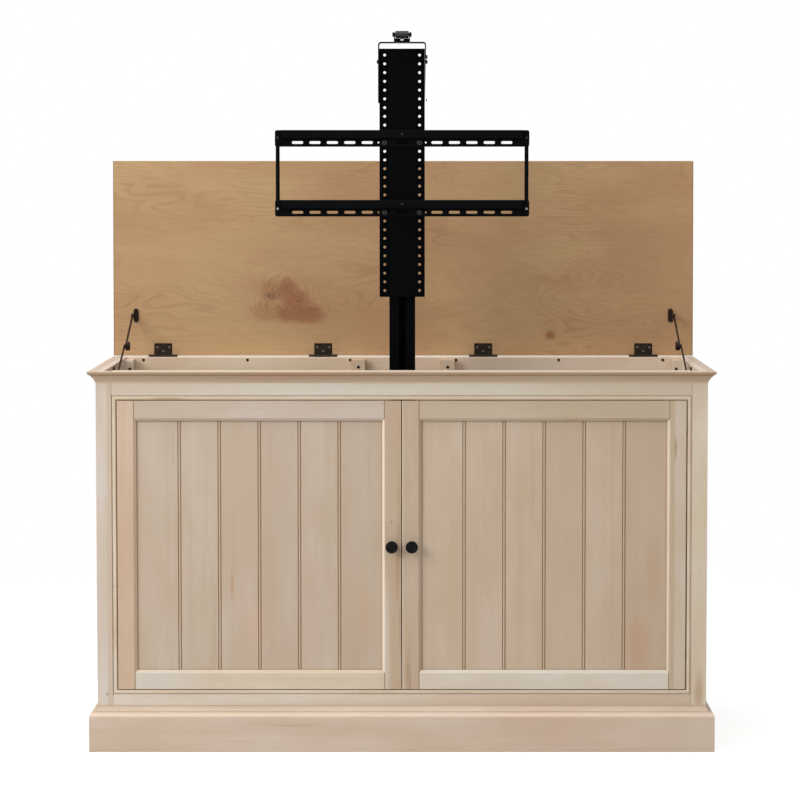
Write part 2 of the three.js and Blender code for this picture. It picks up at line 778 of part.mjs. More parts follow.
// Concealed door hinges: a foot on the side panel and an arm whose tongue reaches into the door's cup
function doorHingeArm(side, z) {
  const footFace = panelHalf - doorFootThickness;
  const [footLow, footHigh] = acrossSide(side, panelHalf, footFace);
  const armFront = frameBack + jointGap;
  const foot = block(
    [footLow, armFront + doorArmWidth / 2, z - doorFootHeight / 2],
    [footHigh, armFront + doorArmLength, z + doorFootHeight / 2]);
  const tongueOuter = doorOuter - cupFromEdge + doorArmTongueInset;
  const tongueInner = doorOuter - cupFromEdge - doorArmTongueInset;
  const armEnd = footFace + doorFootThickness / 2;
  const arm = outline([
    [tongueInner, frameBack - doorArmTongueDepth],
    [tongueOuter, frameBack - doorArmTongueDepth],
    [tongueOuter, armFront],
    [armEnd, armFront + doorArmWidth],
    [armEnd, armFront + doorArmLength - doorArmWidth / 2],
    [tongueOuter, armFront + doorArmWidth],
    [tongueInner, armFront + doorArmWidth / 2],
  ].map(([across, depth]) => [side * across, depth]));
  return join(foot, postAlongZ(arm, z - doorArmHeight / 2, z + doorArmHeight / 2));
}

for (const [sideName, side] of sides) {
  for (const [level, z] of doorHinges()) {
    cabinet.add(mesh(`door_hinge_${sideName}_${level}`, doorHingeArm(side, z), looks.steel));
  }
}

// Lift mast, all its sizes from the plate back: a fixed open channel on a foot, and a stage that slides in it
const plateTop = plateBottom + plateHeight;
const plateBack = plateFrontY + sheetThickness;
const flangeBack = plateFrontY + plateFlangeDepth + sheetThickness;
const baseFront = flangeBack + mastBehindPlate;
const stageFront = baseFront + mastWall + stageRunningGap;
const stageBack = stageFront + stageDepth;
const stageHalf = stageWidth / 2;
const baseHalf = stageHalf + stageRunningGap + mastWall;
const baseBack = stageBack + stageRunningGap + mastWall;
const footTop = bottomTop + jointGap + footThickness;
const stageLow = footTop + stageBottomGap + liftStroke;
const stageHigh = plateBottom + mastOverPlate;

const motorSides = 16;

function channelOutline(half, front, back, wall, mouth) {
  return outline([
    [-mouth / 2, front], [-mouth / 2, front + wall], [-half + wall, front + wall],
    [-half + wall, back - wall], [half - wall, back - wall], [half - wall, front + wall],
    [mouth / 2, front + wall], [mouth / 2, front], [half, front], [half, back], [-half, back], [-half, front],
  ]);
}

function baseColumn() {
  const channel = postAlongZ(channelOutline(baseHalf, baseFront, baseBack, mastWall, baseMouth),
    footTop - footThickness / 2, baseTop);
  const foot = block(
    [-footWidth / 2, baseFront, bottomTop + jointGap],
    [footWidth / 2, baseFront + footDepth, footTop]);
  const motorY = baseBack + motorRadius + mastWall;
  const motor = new THREE.CylinderGeometry(motorRadius, motorRadius, motorHeight, motorSides);
  const motorMiddle = footTop + motorHeight / 2 - overrun;
  const motorBody = solid(motor.rotateX(Math.PI / 2).translate(0, motorY, motorMiddle));
  const gearbox = block(
    [-motorRadius, baseBack - mastWall / 2, footTop - footThickness / 2],
    [motorRadius, motorY, footTop + gearboxHeight]);
  return join(foot, channel, motorBody, gearbox);
}
cabinet.add(mesh('lift_base_column', baseColumn(), looks.steel));

const stageOutline = channelOutline(stageHalf, stageFront, stageBack, stageWall, stageSlot);
cabinet.add(mesh('mast_stage', postAlongZ(stageOutline, stageLow, stageHigh), looks.steel));

// Carriage: a flanged plate drilled in two columns, on a slider that runs in the stage
const holeRows = Math.floor((plateHeight - 2 * holeEndMargin) / holePitch) + 1;
const holeMargin = (plateHeight - (holeRows - 1) * holePitch) / 2;
const holeSteps = 5;
const slotSteps = 3;

function holeHeight(row) {
  return plateBottom + holeMargin + row * holePitch;
}

function roundHole(x, z, radius) {
  const path = new THREE.Path();
  path.absarc(x, z, radius, 0, Math.PI * 2, true);
  return path;
}

function carriagePlate() {
  const half = plateWidth / 2;
  const shape = outline([[-half, plateBottom], [half, plateBottom], [half, plateTop], [-half, plateTop]]);
  for (let row = 0; row < holeRows; row += 1) {
    for (const [, side] of sides) {
      shape.holes.push(roundHole(side * holeColumnSpacing / 2, holeHeight(row), holeRadius));
    }
  }
  const face = slabAlongY(shape, plateFrontY, plateBack, holeSteps);
  const flanges = sides.map(([, side]) => block(
    [Math.min(side * half, side * (half - sheetThickness)), plateFrontY, plateBottom],
    [Math.max(side * half, side * (half - sheetThickness)), flangeBack, plateTop]));
  const sliderLow = plateBottom + sliderInset;
  const neck = block(
    [-neckWidth / 2, plateBack - sheetThickness / 2, sliderLow],
    [neckWidth / 2, stageFront + stageWall + sliderInset, sliderLow + sliderHeight]);
  const sliderGap = stageWall + stageRunningGap;
  const slider = block(
    [-stageHalf + sliderGap, stageFront + sliderGap, sliderLow],
    [stageHalf - sliderGap, stageBack - sliderGap, sliderLow + sliderHeight]);
  return join(face, ...flanges, neck, slider);
}
cabinet.add(mesh('carriage_plate', carriagePlate(), looks.steel));

// Television rails: a slotted flange below a hollow band that stands forward, bolted to rows of the plate
const lowerSlotZ = holeHeight(Math.round(lowerRailRise / holePitch));
const upperSlotZ = lowerSlotZ + Math.round(railSpacing / holePitch) * holePitch;
const slotRoom = railLength / 2 - slotEndMargin - slotLength / 2 - firstSlotPlace;
const slotsPerSide = Math.floor(slotRoom / slotPitch) + 1;

function slotPath(x, z, length, width) {
  const straight = (length - width) / 2;
  const path = new THREE.Path();
  path.absarc(x - straight, z, width / 2, Math.PI * 3 / 2, Math.PI / 2, true);
  path.absarc(x + straight, z, width / 2, Math.PI / 2, -Math.PI / 2, true);
  return path;
}

const railBack = plateFrontY - jointGap;
const railFlangeFront = railBack - sheetThickness;
const railBandFront = railFlangeFront - railBandReach;

// A rectangle with round corners, by its half length and its height range
function roundedStrip(half, low, high, radius) {
  const shape = new THREE.Shape();
  shape.absarc(half - radius, low + radius, radius, -Math.PI / 2, 0, false);
  shape.absarc(half - radius, high - radius, radius, 0, Math.PI / 2, false);
  shape.absarc(-half + radius, high - radius, radius, Math.PI / 2, Math.PI, false);
  shape.absarc(-half + radius, low + radius, radius, Math.PI, Math.PI * 3 / 2, false);
  return shape;
}

function rail(slotZ) {
  const low = slotZ - slotRowAboveRail;
  const high = low + railHeight;
  const bandLow = low + railFlangeHeight;
  const shape = roundedStrip(railLength / 2, low, high, railCornerRadius);
  for (const [, side] of sides) {
    for (let index = 0; index < slotsPerSide; index += 1) {
      shape.holes.push(slotPath(side * (firstSlotPlace + index * slotPitch), slotZ, slotLength, slotWidth));
    }
    shape.holes.push(roundHole(side * pilotHoleOffset, slotZ, pilotHoleRadius));
  }
  const web = slabAlongY(shape, railFlangeFront, railBack, slotSteps);
  const band = barAlongX(outline([
    [railBack - sheetThickness / 2, bandLow],
    [railBandFront, bandLow],
    [railBandFront, high],
    [railBack - sheetThickness / 2, high],
    [railBack - sheetThickness / 2, high - sheetThickness],
    [railBandFront + sheetThickness, high - sheetThickness],
    [railBandFront + sheetThickness, bandLow + sheetThickness],
    [railBack - sheetThickness / 2, bandLow + sheetThickness],
  ]), railBandInset - railLength / 2, railLength / 2 - railBandInset);
  return join(web, band);
}
cabinet.add(mesh('upper_rail', rail(upperSlotZ), looks.steel));
cabinet.add(mesh('lower_rail', rail(lowerSlotZ), looks.steel));

// Tie bars stand on the ends of both rails, beside their bands
for (const [sideName, side] of sides) {
  const barFace = railLength / 2 - tieBarInset;
  const [low, high] = acrossSide(side, barFace, barFace - tieBarWidth);
  const railLow = lowerSlotZ - slotRowAboveRail;
  const railHigh = upperSlotZ - slotRowAboveRail + railHeight;
  cabinet.add(mesh(`tie_bar_${sideName}`, block(
    [low, railFlangeFront - jointGap - sheetThickness, railLow + tieBarInset],
    [high, railFlangeFront - jointGap, railHigh - tieBarInset]), looks.steel));
}

// Lid lifter: an inverted U over the plate, with a yoke and axle for the roller
const lifterTop = plateTop + lifterRise;
const rollerZ = lifterTop + rollerRise;

function strapOutline() {
  const legInner = plateWidth / 2 + jointGap;
  const legOuter = legInner + lifterStrap;
  const low = plateTop - lifterLegDrop;
  const bend = lifterBendRadius + lifterStrap;
  const shape = new THREE.Shape();
  shape.moveTo(legOuter, low);
  shape.absarc(legOuter - bend, lifterTop - bend, bend, 0, Math.PI / 2, false);
  shape.absarc(bend - legOuter, lifterTop - bend, bend, Math.PI / 2, Math.PI, false);
  shape.lineTo(-legOuter, low);
  shape.lineTo(-legInner, low);
  shape.absarc(bend - legOuter, lifterTop - bend, lifterBendRadius, Math.PI, Math.PI / 2, true);
  shape.absarc(legOuter - bend, lifterTop - bend, lifterBendRadius, Math.PI / 2, 0, true);
  shape.lineTo(legInner, low);
  return shape;
}

// The yoke: a shelf on the strap, an ear at each end of the roller, and a slotted web under it
function lidLifter() {
  const strap = slabAlongY(strapOutline(), flangeBack - lifterLegDepth, flangeBack, slotSteps);
  const earInner = rollerLength / 2 + runningClearance;
  const earOuter = earInner + yokeThickness;
  const nutOuter = earOuter + axleNutLength;
  const yokeFront = rollerY - yokeDepth / 2;
  const shelf = block(
    [-earOuter, yokeFront, lifterTop - lifterStrap],
    [earOuter, flangeBack - lifterStrap, lifterTop]);
  const ear = new THREE.Shape();
  ear.moveTo(yokeFront, lifterTop - lifterStrap / 2);
  ear.lineTo(yokeFront + yokeDepth, lifterTop - lifterStrap / 2);
  ear.absarc(rollerY, rollerZ, axleNutRadius, 0, Math.PI, false);
  const ends = sides.map(([, side]) => join(
    barAlongX(ear, ...acrossSide(side, earInner, earOuter), slotSteps),
    rodAlongX(axleNutRadius, ...acrossSide(side, earInner, nutOuter), rollerY, rollerZ, nutSides)));
  const webHalf = earInner + yokeThickness / 2;
  const webLow = lifterTop - lifterStrap / 2;
  const webTop = rollerZ - rollerRadius - runningClearance;
  const web = outline([[-webHalf, webLow], [webHalf, webLow], [webHalf, webTop], [-webHalf, webTop]]);
  web.holes.push(slotPath(0, (lifterTop + webTop) / 2, webSlotLength, webSlotWidth));
  return join(
    strap, shelf, ...ends,
    slabAlongY(web, rollerY - yokeThickness / 2, rollerY + yokeThickness / 2, slotSteps),
    rodAlongX(axleRadius, -earOuter, earOuter, rollerY, rollerZ, staySides));
}
cabinet.add(mesh('lid_lifter', lidLifter(), looks.steel));

// Roller: shares of its radius and of its half length, with eased edges
const rollerShares = [[0.94, -1], [1, -0.86], [1, 0.86], [0.94, 1]];

function lidRoller() {
  const half = rollerLength / 2 - runningClearance;
  const bore = axleRadius + runningClearance;
  const profile = [
    [bore, -half],
    ...rollerShares.map(([across, along]) => [across * rollerRadius, along * half]),
    [bore, half],
    [bore, -half],
  ].map(([across, along]) => new THREE.Vector2(across, along));
  const turned = new THREE.LatheGeometry(profile, turnedSides);
  return solid(turned.rotateZ(-Math.PI / 2).translate(0, rollerY, rollerZ));
}
cabinet.add(mesh('lid_roller', lidRoller(), looks.rubber));

// The origin stands on the floor, in the middle of the whole object as it stands open
const extent = new THREE.Box3().setFromObject(cabinet, true);
cabinet.position.y = -(extent.min.y + extent.max.y) / 2;
const group = new THREE.Group();
group.add(cabinet);
export default group;
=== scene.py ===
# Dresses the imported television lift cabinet: bare wood, plywood lid, bronze fittings and a black lift.
# Metres, in the frame of the CAD model.
import json
import math

import bmesh
import bpy
from mathutils import Color, Matrix, Vector


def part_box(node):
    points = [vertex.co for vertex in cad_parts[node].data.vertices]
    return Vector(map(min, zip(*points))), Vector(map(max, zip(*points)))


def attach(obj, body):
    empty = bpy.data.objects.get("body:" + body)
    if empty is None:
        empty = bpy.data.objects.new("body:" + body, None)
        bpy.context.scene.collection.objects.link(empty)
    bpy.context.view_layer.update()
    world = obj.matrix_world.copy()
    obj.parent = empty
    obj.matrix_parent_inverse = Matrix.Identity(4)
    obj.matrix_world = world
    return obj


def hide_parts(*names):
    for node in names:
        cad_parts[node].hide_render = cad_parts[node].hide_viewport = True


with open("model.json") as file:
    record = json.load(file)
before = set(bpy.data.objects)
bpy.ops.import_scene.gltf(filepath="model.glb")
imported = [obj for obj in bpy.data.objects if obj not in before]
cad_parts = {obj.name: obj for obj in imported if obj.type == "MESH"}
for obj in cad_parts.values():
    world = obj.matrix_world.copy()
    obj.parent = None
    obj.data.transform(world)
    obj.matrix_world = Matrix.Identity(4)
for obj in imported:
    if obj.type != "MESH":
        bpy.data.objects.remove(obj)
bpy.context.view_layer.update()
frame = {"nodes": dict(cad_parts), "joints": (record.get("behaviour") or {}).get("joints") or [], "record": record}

# Camera: where the photograph was taken from
EYE = Vector((0.0545, -6.9506, 1.626))
FOCAL = 107.01
SENSOR = 36.0
PITCH = math.radians(2.9)
SHIFT_X = -0.0264
SHIFT_Y = -0.13

# Studio
FLOOR_HALF = 40.0
FLOOR_NEAR = 1.4
FLOOR_FAR = 3.0
FLOOR_COLOUR = (190, 188, 185)
FLOOR_ROUGHNESS = 0.9
FLOOR_SPECULAR = 0.1
FLOOR_LIFT = 0.74
WORLD_LIGHT = 0.46
LAMPS = {
    "key_lamp": {"place": (-5.2, -4.6, 4.0), "size": 4.4, "power": 330.0},
    "fill_lamp": {"place": (3.6, -5.2, 2.4), "size": 3.6, "power": 28.0},
    "top_lamp": {"place": (-0.6, -0.7, 4.6), "size": 3.0, "power": 85.0},
}
LAMP_TARGET = Vector((0.0, 0.0, 0.9))

# Edges
BOARD_EASE = 0.0009
MEMBER_EASE = 0.0015
METAL_EASE = 0.0004
EASE_STEPS = 2
SHARP_ANGLE = math.radians(32)
SMOOTH_ANGLE = math.radians(38)
FLAT_ANGLE = math.radians(0.5)
SAME_POINT = 1e-6
SAME_DIGITS = 7
BEVEL_ROUND = 0.5
ROUND_STEPS = 32
FINE_STEPS = 64
CORNER_STEPS = 6

# Sheet metal of the lift
SHEET = 0.003
GAP = 0.0003
FLANGE_DEPTH = 0.018
HOLE_PITCH = 0.025
HOLE_ROWS = 28
HOLE_COLUMN = 0.05
HOLE_RADIUS = 0.004
SHEET_CORNER = 0.0012
SLIDER_HALF = 0.0325
SLIDER_DEPTH = 0.0505
SLIDER_LIFT = 0.013
SLIDER_HEIGHT = 0.15
NECK_HALF = 0.0075
RAIL_CORNER = 0.006
RAIL_BAND_LOW = 0.0234
RAIL_BAND_INSET = 0.02
RAIL_BEND = 0.0026
SLOT_ROW_RISE = 0.012
SLOT_FIRST = 0.1
SLOT_PITCH = 0.05
SLOTS_PER_SIDE = 5
SLOT_HALF_LENGTH = 0.0161
SLOT_HALF_WIDTH = 0.0039
PILOT_PLACE = 0.068
PILOT_RADIUS = 0.0025
MIDDLE_SLOT_HALF = 0.017
MIDDLE_SLOT_LOW = 0.0085
MIDDLE_SLOT_HIGH = 0.0155
MIDDLE_SLOT_ROUND = 0.003

# Screws and bolts: where they stand
WALL_SCREW_DROP = 0.0075
WALL_SCREW_PLACES = (0.160, 0.471, 0.786)
BATTEN_SCREW_DROP = 0.027
SIDE_BATTEN_FRONT = 0.042
SIDE_BATTEN_PLACE = 0.8225
SIDE_BATTEN_DROP = 0.032
LID_HINGES = 4
LEAF_FACE = 0.00025
LEAF_SCREW_PLACES = ((-0.0185, 0.0265), (0.0185, 0.0265), (0.0, 0.0145))
RIM_SCREW_ACROSS = 0.0335
RIM_SCREW_INSET = 0.016
BOLT_PLACE = 0.05
WASHER_RADIUS = 0.0098
WASHER_RISE = 0.0013
TIE_SCREW_PLACE = 0.0195
BAND_SCREW_RISE = 0.0355
STRAP_MIDDLE = 0.013
STAY_LID_PLATE_ACROSS = 0.8132
STAY_LID_PLATE_ALONG = 0.124
STAY_LID_PLATE_FACE = 0.0031
STAY_LID_SCREW_REACH = 0.0142
STAY_BRACKET_FACE = 0.8357
STAY_BRACKET_SCREWS = (-0.0235, 0.0165)
HINGE_FOOT_SPREAD = 0.0155
HINGE_FOOT_INSET = 0.016
HINGE_FOOT_THICKNESS = 0.009

# Screws in the sides of the lid lifter's strap: end of the name, side, drop from its top, kind of head
STRAP_SCREWS = (
    ("left", -1, 0.082, "strap_screw"),
    ("right_upper", 1, 0.068, "strap_screw"),
    ("right_lower", 1, 0.082, "strap_screw"),
    ("right_small", 1, 0.1915, "strap_small_screw"),
)

# Kinds of head: radius, rise, drive, material slot, metal, and how far the drive is turned
HEADS = {
    "wall_screw": (0.0042, 0.0022, "cross", "dark_bronze", "black_screw", 0.4),
    "batten_screw": (0.0045, 0.0022, "cross", "dark_bronze", "black_screw", 0.3),
    "side_batten_screw": (0.0045, 0.0022, "cross", "dark_bronze", "black_screw", 0.7),
    "rim_hinge_screw": (0.0034, 0.0003, "cross", "dark_bronze", "dark_bronze_metal", 0.5),
    "lid_hinge_screw": (0.0034, 0.0003, "cross", "dark_bronze", "worn_screw", 0.7),
    "stay_bracket_screw": (0.0026, 0.0012, "cross", "dark_bronze", "black_screw", 0.5),
    "stay_lid_screw": (0.0026, 0.0012, "cross", "dark_bronze", "black_screw", 0.3),
    "rail_bolt": (0.0085, 0.0052, "hexagon", "black_steel", "bolt_zinc", 0.4),
    "rail_middle_screw": (0.0034, 0.0008, "cross", "black_steel", "black_screw", 0.2),
    "tie_bar_low_screw": (0.0037, 0.0022, "cross", "black_steel", "bright_zinc", 0.6),
    "tie_bar_high_screw": (0.0037, 0.0022, "cross", "black_steel", "bolt_zinc", 0.6),
    "strap_screw": (0.0058, 0.0042, "hexagon", "black_steel", "bolt_zinc", 0.2),
    "strap_small_screw": (0.0036, 0.0022, "hexagon", "black_steel", "bolt_zinc", 0.2),
    "hinge_foot_screw": (0.0038, 0.0016, "cross", "black_steel", "bolt_zinc", 0.4),
}
CROSS_HALF = 0.26

# Turned profiles: shares of the radius and of the length
KNOB_PROFILE = (
    (0.0, 0.0), (0.47, 0.0), (0.485, 0.025), (0.46, 0.06), (0.4, 0.1), (0.375, 0.2), (0.385, 0.31),
    (0.46, 0.42), (0.64, 0.53), (0.84, 0.61), (0.955, 0.7), (1.0, 0.8), (0.992, 0.88), (0.955, 0.95),
    (0.9, 0.99), (0.85, 1.0), (0.8, 0.985), (0.765, 0.945), (0.73, 0.93), (0.69, 0.945), (0.62, 0.965),
    (0.56, 0.962), (0.52, 0.94), (0.48, 0.935), (0.44, 0.95), (0.3, 0.968), (0.14, 0.975), (0.0, 0.976))
ROLLER_PROFILE = (
    (0.42, -0.98), (0.8, -1.0), (0.9, -0.985), (0.965, -0.94), (0.99, -0.86), (1.0, -0.55), (1.0, -0.44),
    (0.955, -0.4), (0.955, -0.34), (1.0, -0.3), (1.0, 0.3), (0.955, 0.34), (0.955, 0.4), (1.0, 0.44),
    (1.0, 0.55), (0.99, 0.86), (0.965, 0.94), (0.9, 0.985), (0.8, 1.0), (0.42, 0.98))
BOSS_PROFILE = (
    (0.0, 0.0), (1.0, 0.0), (1.0, 0.74), (0.97, 0.86), (0.9, 0.95), (0.78, 1.0), (0.62, 1.0), (0.58, 0.93),
    (0.4, 0.9), (0.36, 0.97), (0.26, 1.04), (0.12, 1.08), (0.0, 1.09))
CUP_PROFILE = (
    (0.0, 0.0), (0.95, 0.0), (1.0, 0.06), (1.0, 0.96), (0.985, 0.99), (0.945, 0.99), (0.93, 0.96),
    (0.93, 0.16), (0.89, 0.1), (0.0, 0.1))
MOTOR_PROFILE = (
    (0.0, 0.0), (0.97, 0.0), (1.0, 0.012), (1.0, 0.3), (0.975, 0.306), (0.975, 0.322), (1.0, 0.328),
    (1.0, 0.86), (0.975, 0.866), (0.975, 0.882), (1.0, 0.888), (1.0, 0.975), (0.965, 0.995), (0.6, 1.0),
    (0.57, 0.99), (0.5, 0.988), (0.24, 0.99), (0.2, 1.004), (0.0, 1.006))
WASHER_PROFILE = ((0.5, 0.0), (0.96, 0.0), (1.0, 0.3), (0.97, 0.9), (0.9, 1.0), (0.5, 1.0))
SCREW_PROFILE = (
    (0.0, 0.3), (0.42, 0.3), (0.5, 0.97), (0.62, 1.0), (0.86, 0.8), (0.98, 0.42), (1.0, 0.0),
    (0.9, -0.3), (0.0, -0.3))
SCREW_DRIVEN = (1, 2)
BOSS_RADIUS = 0.01315
BOSS_LENGTH = 0.0108
BOSS_START = 0.8221
CUP_RADIUS = 0.0173
CUP_DEPTH = 0.0117
CUP_FLOOR = 0.0002
CUP_PLACE = 0.78
MOTOR_RADIUS = 0.0313
MOTOR_LOW = 0.0085
MOTOR_HEIGHT = 0.2285
MOTOR_PLACE = 0.013575

# Bare wood. Each noise: scale across the grain and along it, detail and roughness
WOOD_NOISES = {
    "bend": (6.0, 1.3, 2.0, 0.5),
    "cloud": (8.5, 3.0, 4.0, 0.55),
    "flush": (5.5, 2.4, 3.0, 0.5),
    "band": (46.0, 1.4, 3.0, 0.5),
    "fibre": (800.0, 14.0, 4.0, 0.6),
    "streak": (22.0, 0.9, 4.0, 0.62),
    "pore": (1700.0, 60.0, 1.0, 0.5),
}

# Shares of the wood's red, green and blue
WOOD_TINTS = {
    "pale": (1.02, 1.02, 1.02),
    "warm": (0.985, 0.965, 0.93),
    "flushed": (0.99, 0.94, 0.915),
    "shaded": (0.94, 0.905, 0.86),
    "brown": (0.76, 0.66, 0.55),
}

# The layers of colour, in order: noise, where it begins and is full, how much then shows, and of which tint
WOOD_LAYERS = (
    ("cloud", 0.35, 0.66, 1.0, "warm"),
    ("flush", 0.46, 0.68, 0.75, "flushed"),
    ("plank", 0.0, 1.0, 0.45, "shaded"),
    ("band", 0.44, 0.74, 0.34, "shaded"),
    ("fibre", 0.38, 0.75, 0.24, "shaded"),
    ("streak", 0.6, 0.76, 1.0, "brown"),
)
SEED_STEPS = (1.71, 2.93, 0.87)
WANDER = 0.016
HALVES = (0.5, 0.5, 0.5)
PLANK_PITCH = 0.1128
PLANK_SHIFT = 0.31
PORE_EDGES = (0.64, 0.73)
PORE_SHARE = 0.16
MARK_CORE = 0.2
FIBRE_RELIEF = 0.6
PORE_RELIEF = 0.4
WOOD_BUMP = (0.00022, 0.45)
WOOD_GLOSS = (0.3, 0.8, 0.6, 0.74)
WOOD_SPECULAR = 0.35
# Painted shade: the wood turns this brown where ambient occlusion finds a crevice within the reach, over these
# edges, with this many samples
CREVICE_SHADE_COLOUR = (148, 110, 66)
CREVICE_SHADE_REACH = 0.005
CREVICE_SHADE_EDGES = (0.35, 0.9)
CREVICE_SHADE_SAMPLES = 8

# Lines painted on the wood, as dark joints, painted shade and painted highlights: where a line stays full and
# where it ends, in shares of its half width
LINE_CORE = 0.6
LINE_END = 1.3
# Painted shade in the two grooves beside each plank seam of the beadboard: half their spacing, half width,
# strength and colour, and how many seams out from the middle
QUIRK_HALF_SPACING = 0.0038
QUIRK_HALF = 0.0011
QUIRK_SHADE_SHARE = 0.8
QUIRK_SHADE_COLOUR = (124, 94, 58)
PLANK_SEAMS_REACH = 2.5

# Each wooden node: its grain axis, its colour, and the strength of its mineral streaks and of the painted shade in
# its crevices
WOODS = {
    "face_stile_left": (2, (209, 198, 187), 0.35, 0.12),
    "face_stile_right": (2, (213, 200, 181), 0.55, 0.12),
    "frieze_rail": (0, (212, 203, 190), 0.2, 0.12),
    "sill_rail": (0, (213, 201, 187), 0.35, 0.12),
    "door_bead_frame": (0, (214, 200, 181), 0.25, 0.2),
    "plinth_front": (0, (207, 189, 172), 0.55, 0.5),
    "plinth_left": (1, (205, 187, 171), 0.3, 0.5),
    "plinth_right": (1, (205, 187, 171), 0.3, 0.5),
    "cornice_front": (0, (204, 184, 162), 0.3, 0.7),
    "cornice_left": (1, (206, 195, 184), 0.3, 0.7),
    "cornice_right": (1, (206, 195, 184), 0.3, 0.7),
    "side_panel_left": (2, (210, 196, 181), 0.35, 0.6),
    "side_panel_right": (2, (210, 196, 181), 0.35, 0.6),
    "back_batten_left": (2, (205, 183, 158), 0.3, 0.6),
    "back_batten_right": (2, (205, 183, 158), 0.3, 0.6),
    "hinge_rail": (0, (216, 201, 182), 0.25, 0.5),
    "left_door_outer_stile": (2, (204, 180, 158), 0.4, 0.72),
    "left_door_inner_stile": (2, (191, 171, 149), 0.75, 0.72),
    "left_door_top_rail": (0, (198, 183, 169), 0.5, 0.72),
    "left_door_bottom_rail": (0, (211, 196, 174), 0.3, 0.72),
    "left_door_panel": (2, (196, 180, 163), 0.25, 0.85),
    "right_door_inner_stile": (2, (191, 171, 150), 0.75, 0.72),
    "right_door_outer_stile": (2, (203, 191, 173), 0.45, 0.72),
    "right_door_top_rail": (0, (192, 176, 154), 0.6, 0.72),
    "right_door_bottom_rail": (0, (214, 207, 195), 0.2, 0.72),
    "right_door_panel": (2, (197, 178, 158), 0.25, 0.85),
    "bottom_panel": (0, (205, 184, 158), 0.25, 0.5),
    "back_panel": (0, (213, 194, 172), 0.3, 0.6),
}

# Marks on the front faces: centre and reach along x and z, colour and strength
PANEL_FACE = -0.28
FRAME_FACE = -0.288
MARK_DEPTH = 0.05
MARKS = {
    "left_door_panel": (
        ((-0.478, 0.472), (0.006, 0.06), (188, 142, 108), 0.6),
        ((-0.42, 0.36), (0.05, 0.12), (204, 168, 146), 0.35),
        ((-0.11, 0.4), (0.03, 0.1), (200, 162, 130), 0.4),
    ),
    "right_door_panel": (
        ((0.67, 0.3), (0.05, 0.12), (186, 146, 112), 0.5),
        ((0.71, 0.5), (0.04, 0.16), (184, 150, 120), 0.4),
        ((0.33, 0.42), (0.04, 0.14), (194, 160, 132), 0.35),
    ),
    "left_door_inner_stile": (
        ((-0.011, 0.485), (0.006, 0.12), (178, 136, 98), 0.5),
        ((-0.027, 0.653), (0.003, 0.005), (120, 88, 58), 0.7),
        ((-0.038, 0.634), (0.002, 0.004), (120, 88, 58), 0.5),
        ((-0.046, 0.3), (0.02, 0.3), (208, 196, 180), 0.8),
    ),
    "right_door_outer_stile": (((0.77, 0.86), (0.005, 0.05), (138, 106, 76), 0.6),),
    "left_door_bottom_rail": (((-0.7, 0.2), (0.2, 0.08), (211, 203, 192), 0.8),),
    "face_stile_right": (((0.838, 0.165), (0.02, 0.08), (176, 142, 108), 0.6),),
    "face_stile_left": (((-0.833, 0.1605), (0.004, 0.006), (112, 84, 58), 0.8),),
    "frieze_rail": (((0.75, 1.026), (0.75, 0.2), (199, 183, 156), 0.6),),
    "sill_rail": (((0.8, 0.12), (1.5, 0.066), (190, 160, 126), 0.6),),
    "door_bead_frame": (((-0.66, 0.998), (0.07, 0.004), (168, 130, 90), 0.6),),
}

# Lines along an edge, a moulding or a joint, as dark joints, painted shade and painted highlights: axis, end of
# the box, how far in, half width, colour, strength
SEAM = (138, 104, 72)
# LIT_EDGE is a painted highlight, for chamfers and edges turned towards the lamp on the left
LIT_EDGE = (236, 221, 203)
# Painted shade on the cornice moulding: darker on the downward-facing ovolo, a dark line in the quirk, and a
# darker slope below it
CORNICE_SHADE_LINES = (
    (2, "high", 0.005, 0.005, (152, 120, 86), 0.62),
    (2, "high", 0.0105, 0.0016, (150, 120, 90), 0.4),
    (2, "high", 0.0205, 0.009, (150, 114, 82), 0.24),
)
# On the plinth: a dark joint line where it meets the sill, and a painted highlight on the upward-facing top of its
# ovolo
PLINTH_JOINT_AND_HIGHLIGHT_LINES = (
    (2, "high", 0.0008, 0.0014, (170, 134, 98), 0.6),
    (2, "high", 0.0253, 0.0045, (234, 210, 190), 0.6),
)
RAIL_LINES = (
    (0, "low", 0.0036, 0.0011, SEAM, 0.8),
    (0, "high", 0.0036, 0.0011, SEAM, 0.8),
)
LINES = {
    "left_door_inner_stile": ((0, "low", 0.003, 0.0038, LIT_EDGE, 0.8),),
    "right_door_inner_stile": ((0, "low", 0.0012, 0.0016, LIT_EDGE, 0.6),),
    "right_door_outer_stile": (
        (0, "low", 0.002, 0.0034, LIT_EDGE, 0.4),
        (0, "low", 0.0144, 0.0075, (184, 160, 128), 0.6),
        # Painted shadow of the door gap along the stile's outer edge
        (0, "high", 0.0002, 0.0014, (70, 54, 40), 0.8),
    ),
    "face_stile_left": ((0, "high", 0.007, 0.007, (196, 172, 148), 0.6),),
}
for side in ("left", "right"):
    for level in ("top", "bottom"):
        LINES[f"{side}_door_{level}_rail"] = RAIL_LINES
for side in ("front", "left", "right"):
    LINES[f"cornice_{side}"] = CORNICE_SHADE_LINES
    LINES[f"plinth_{side}"] = PLINTH_JOINT_AND_HIGHLIGHT_LINES

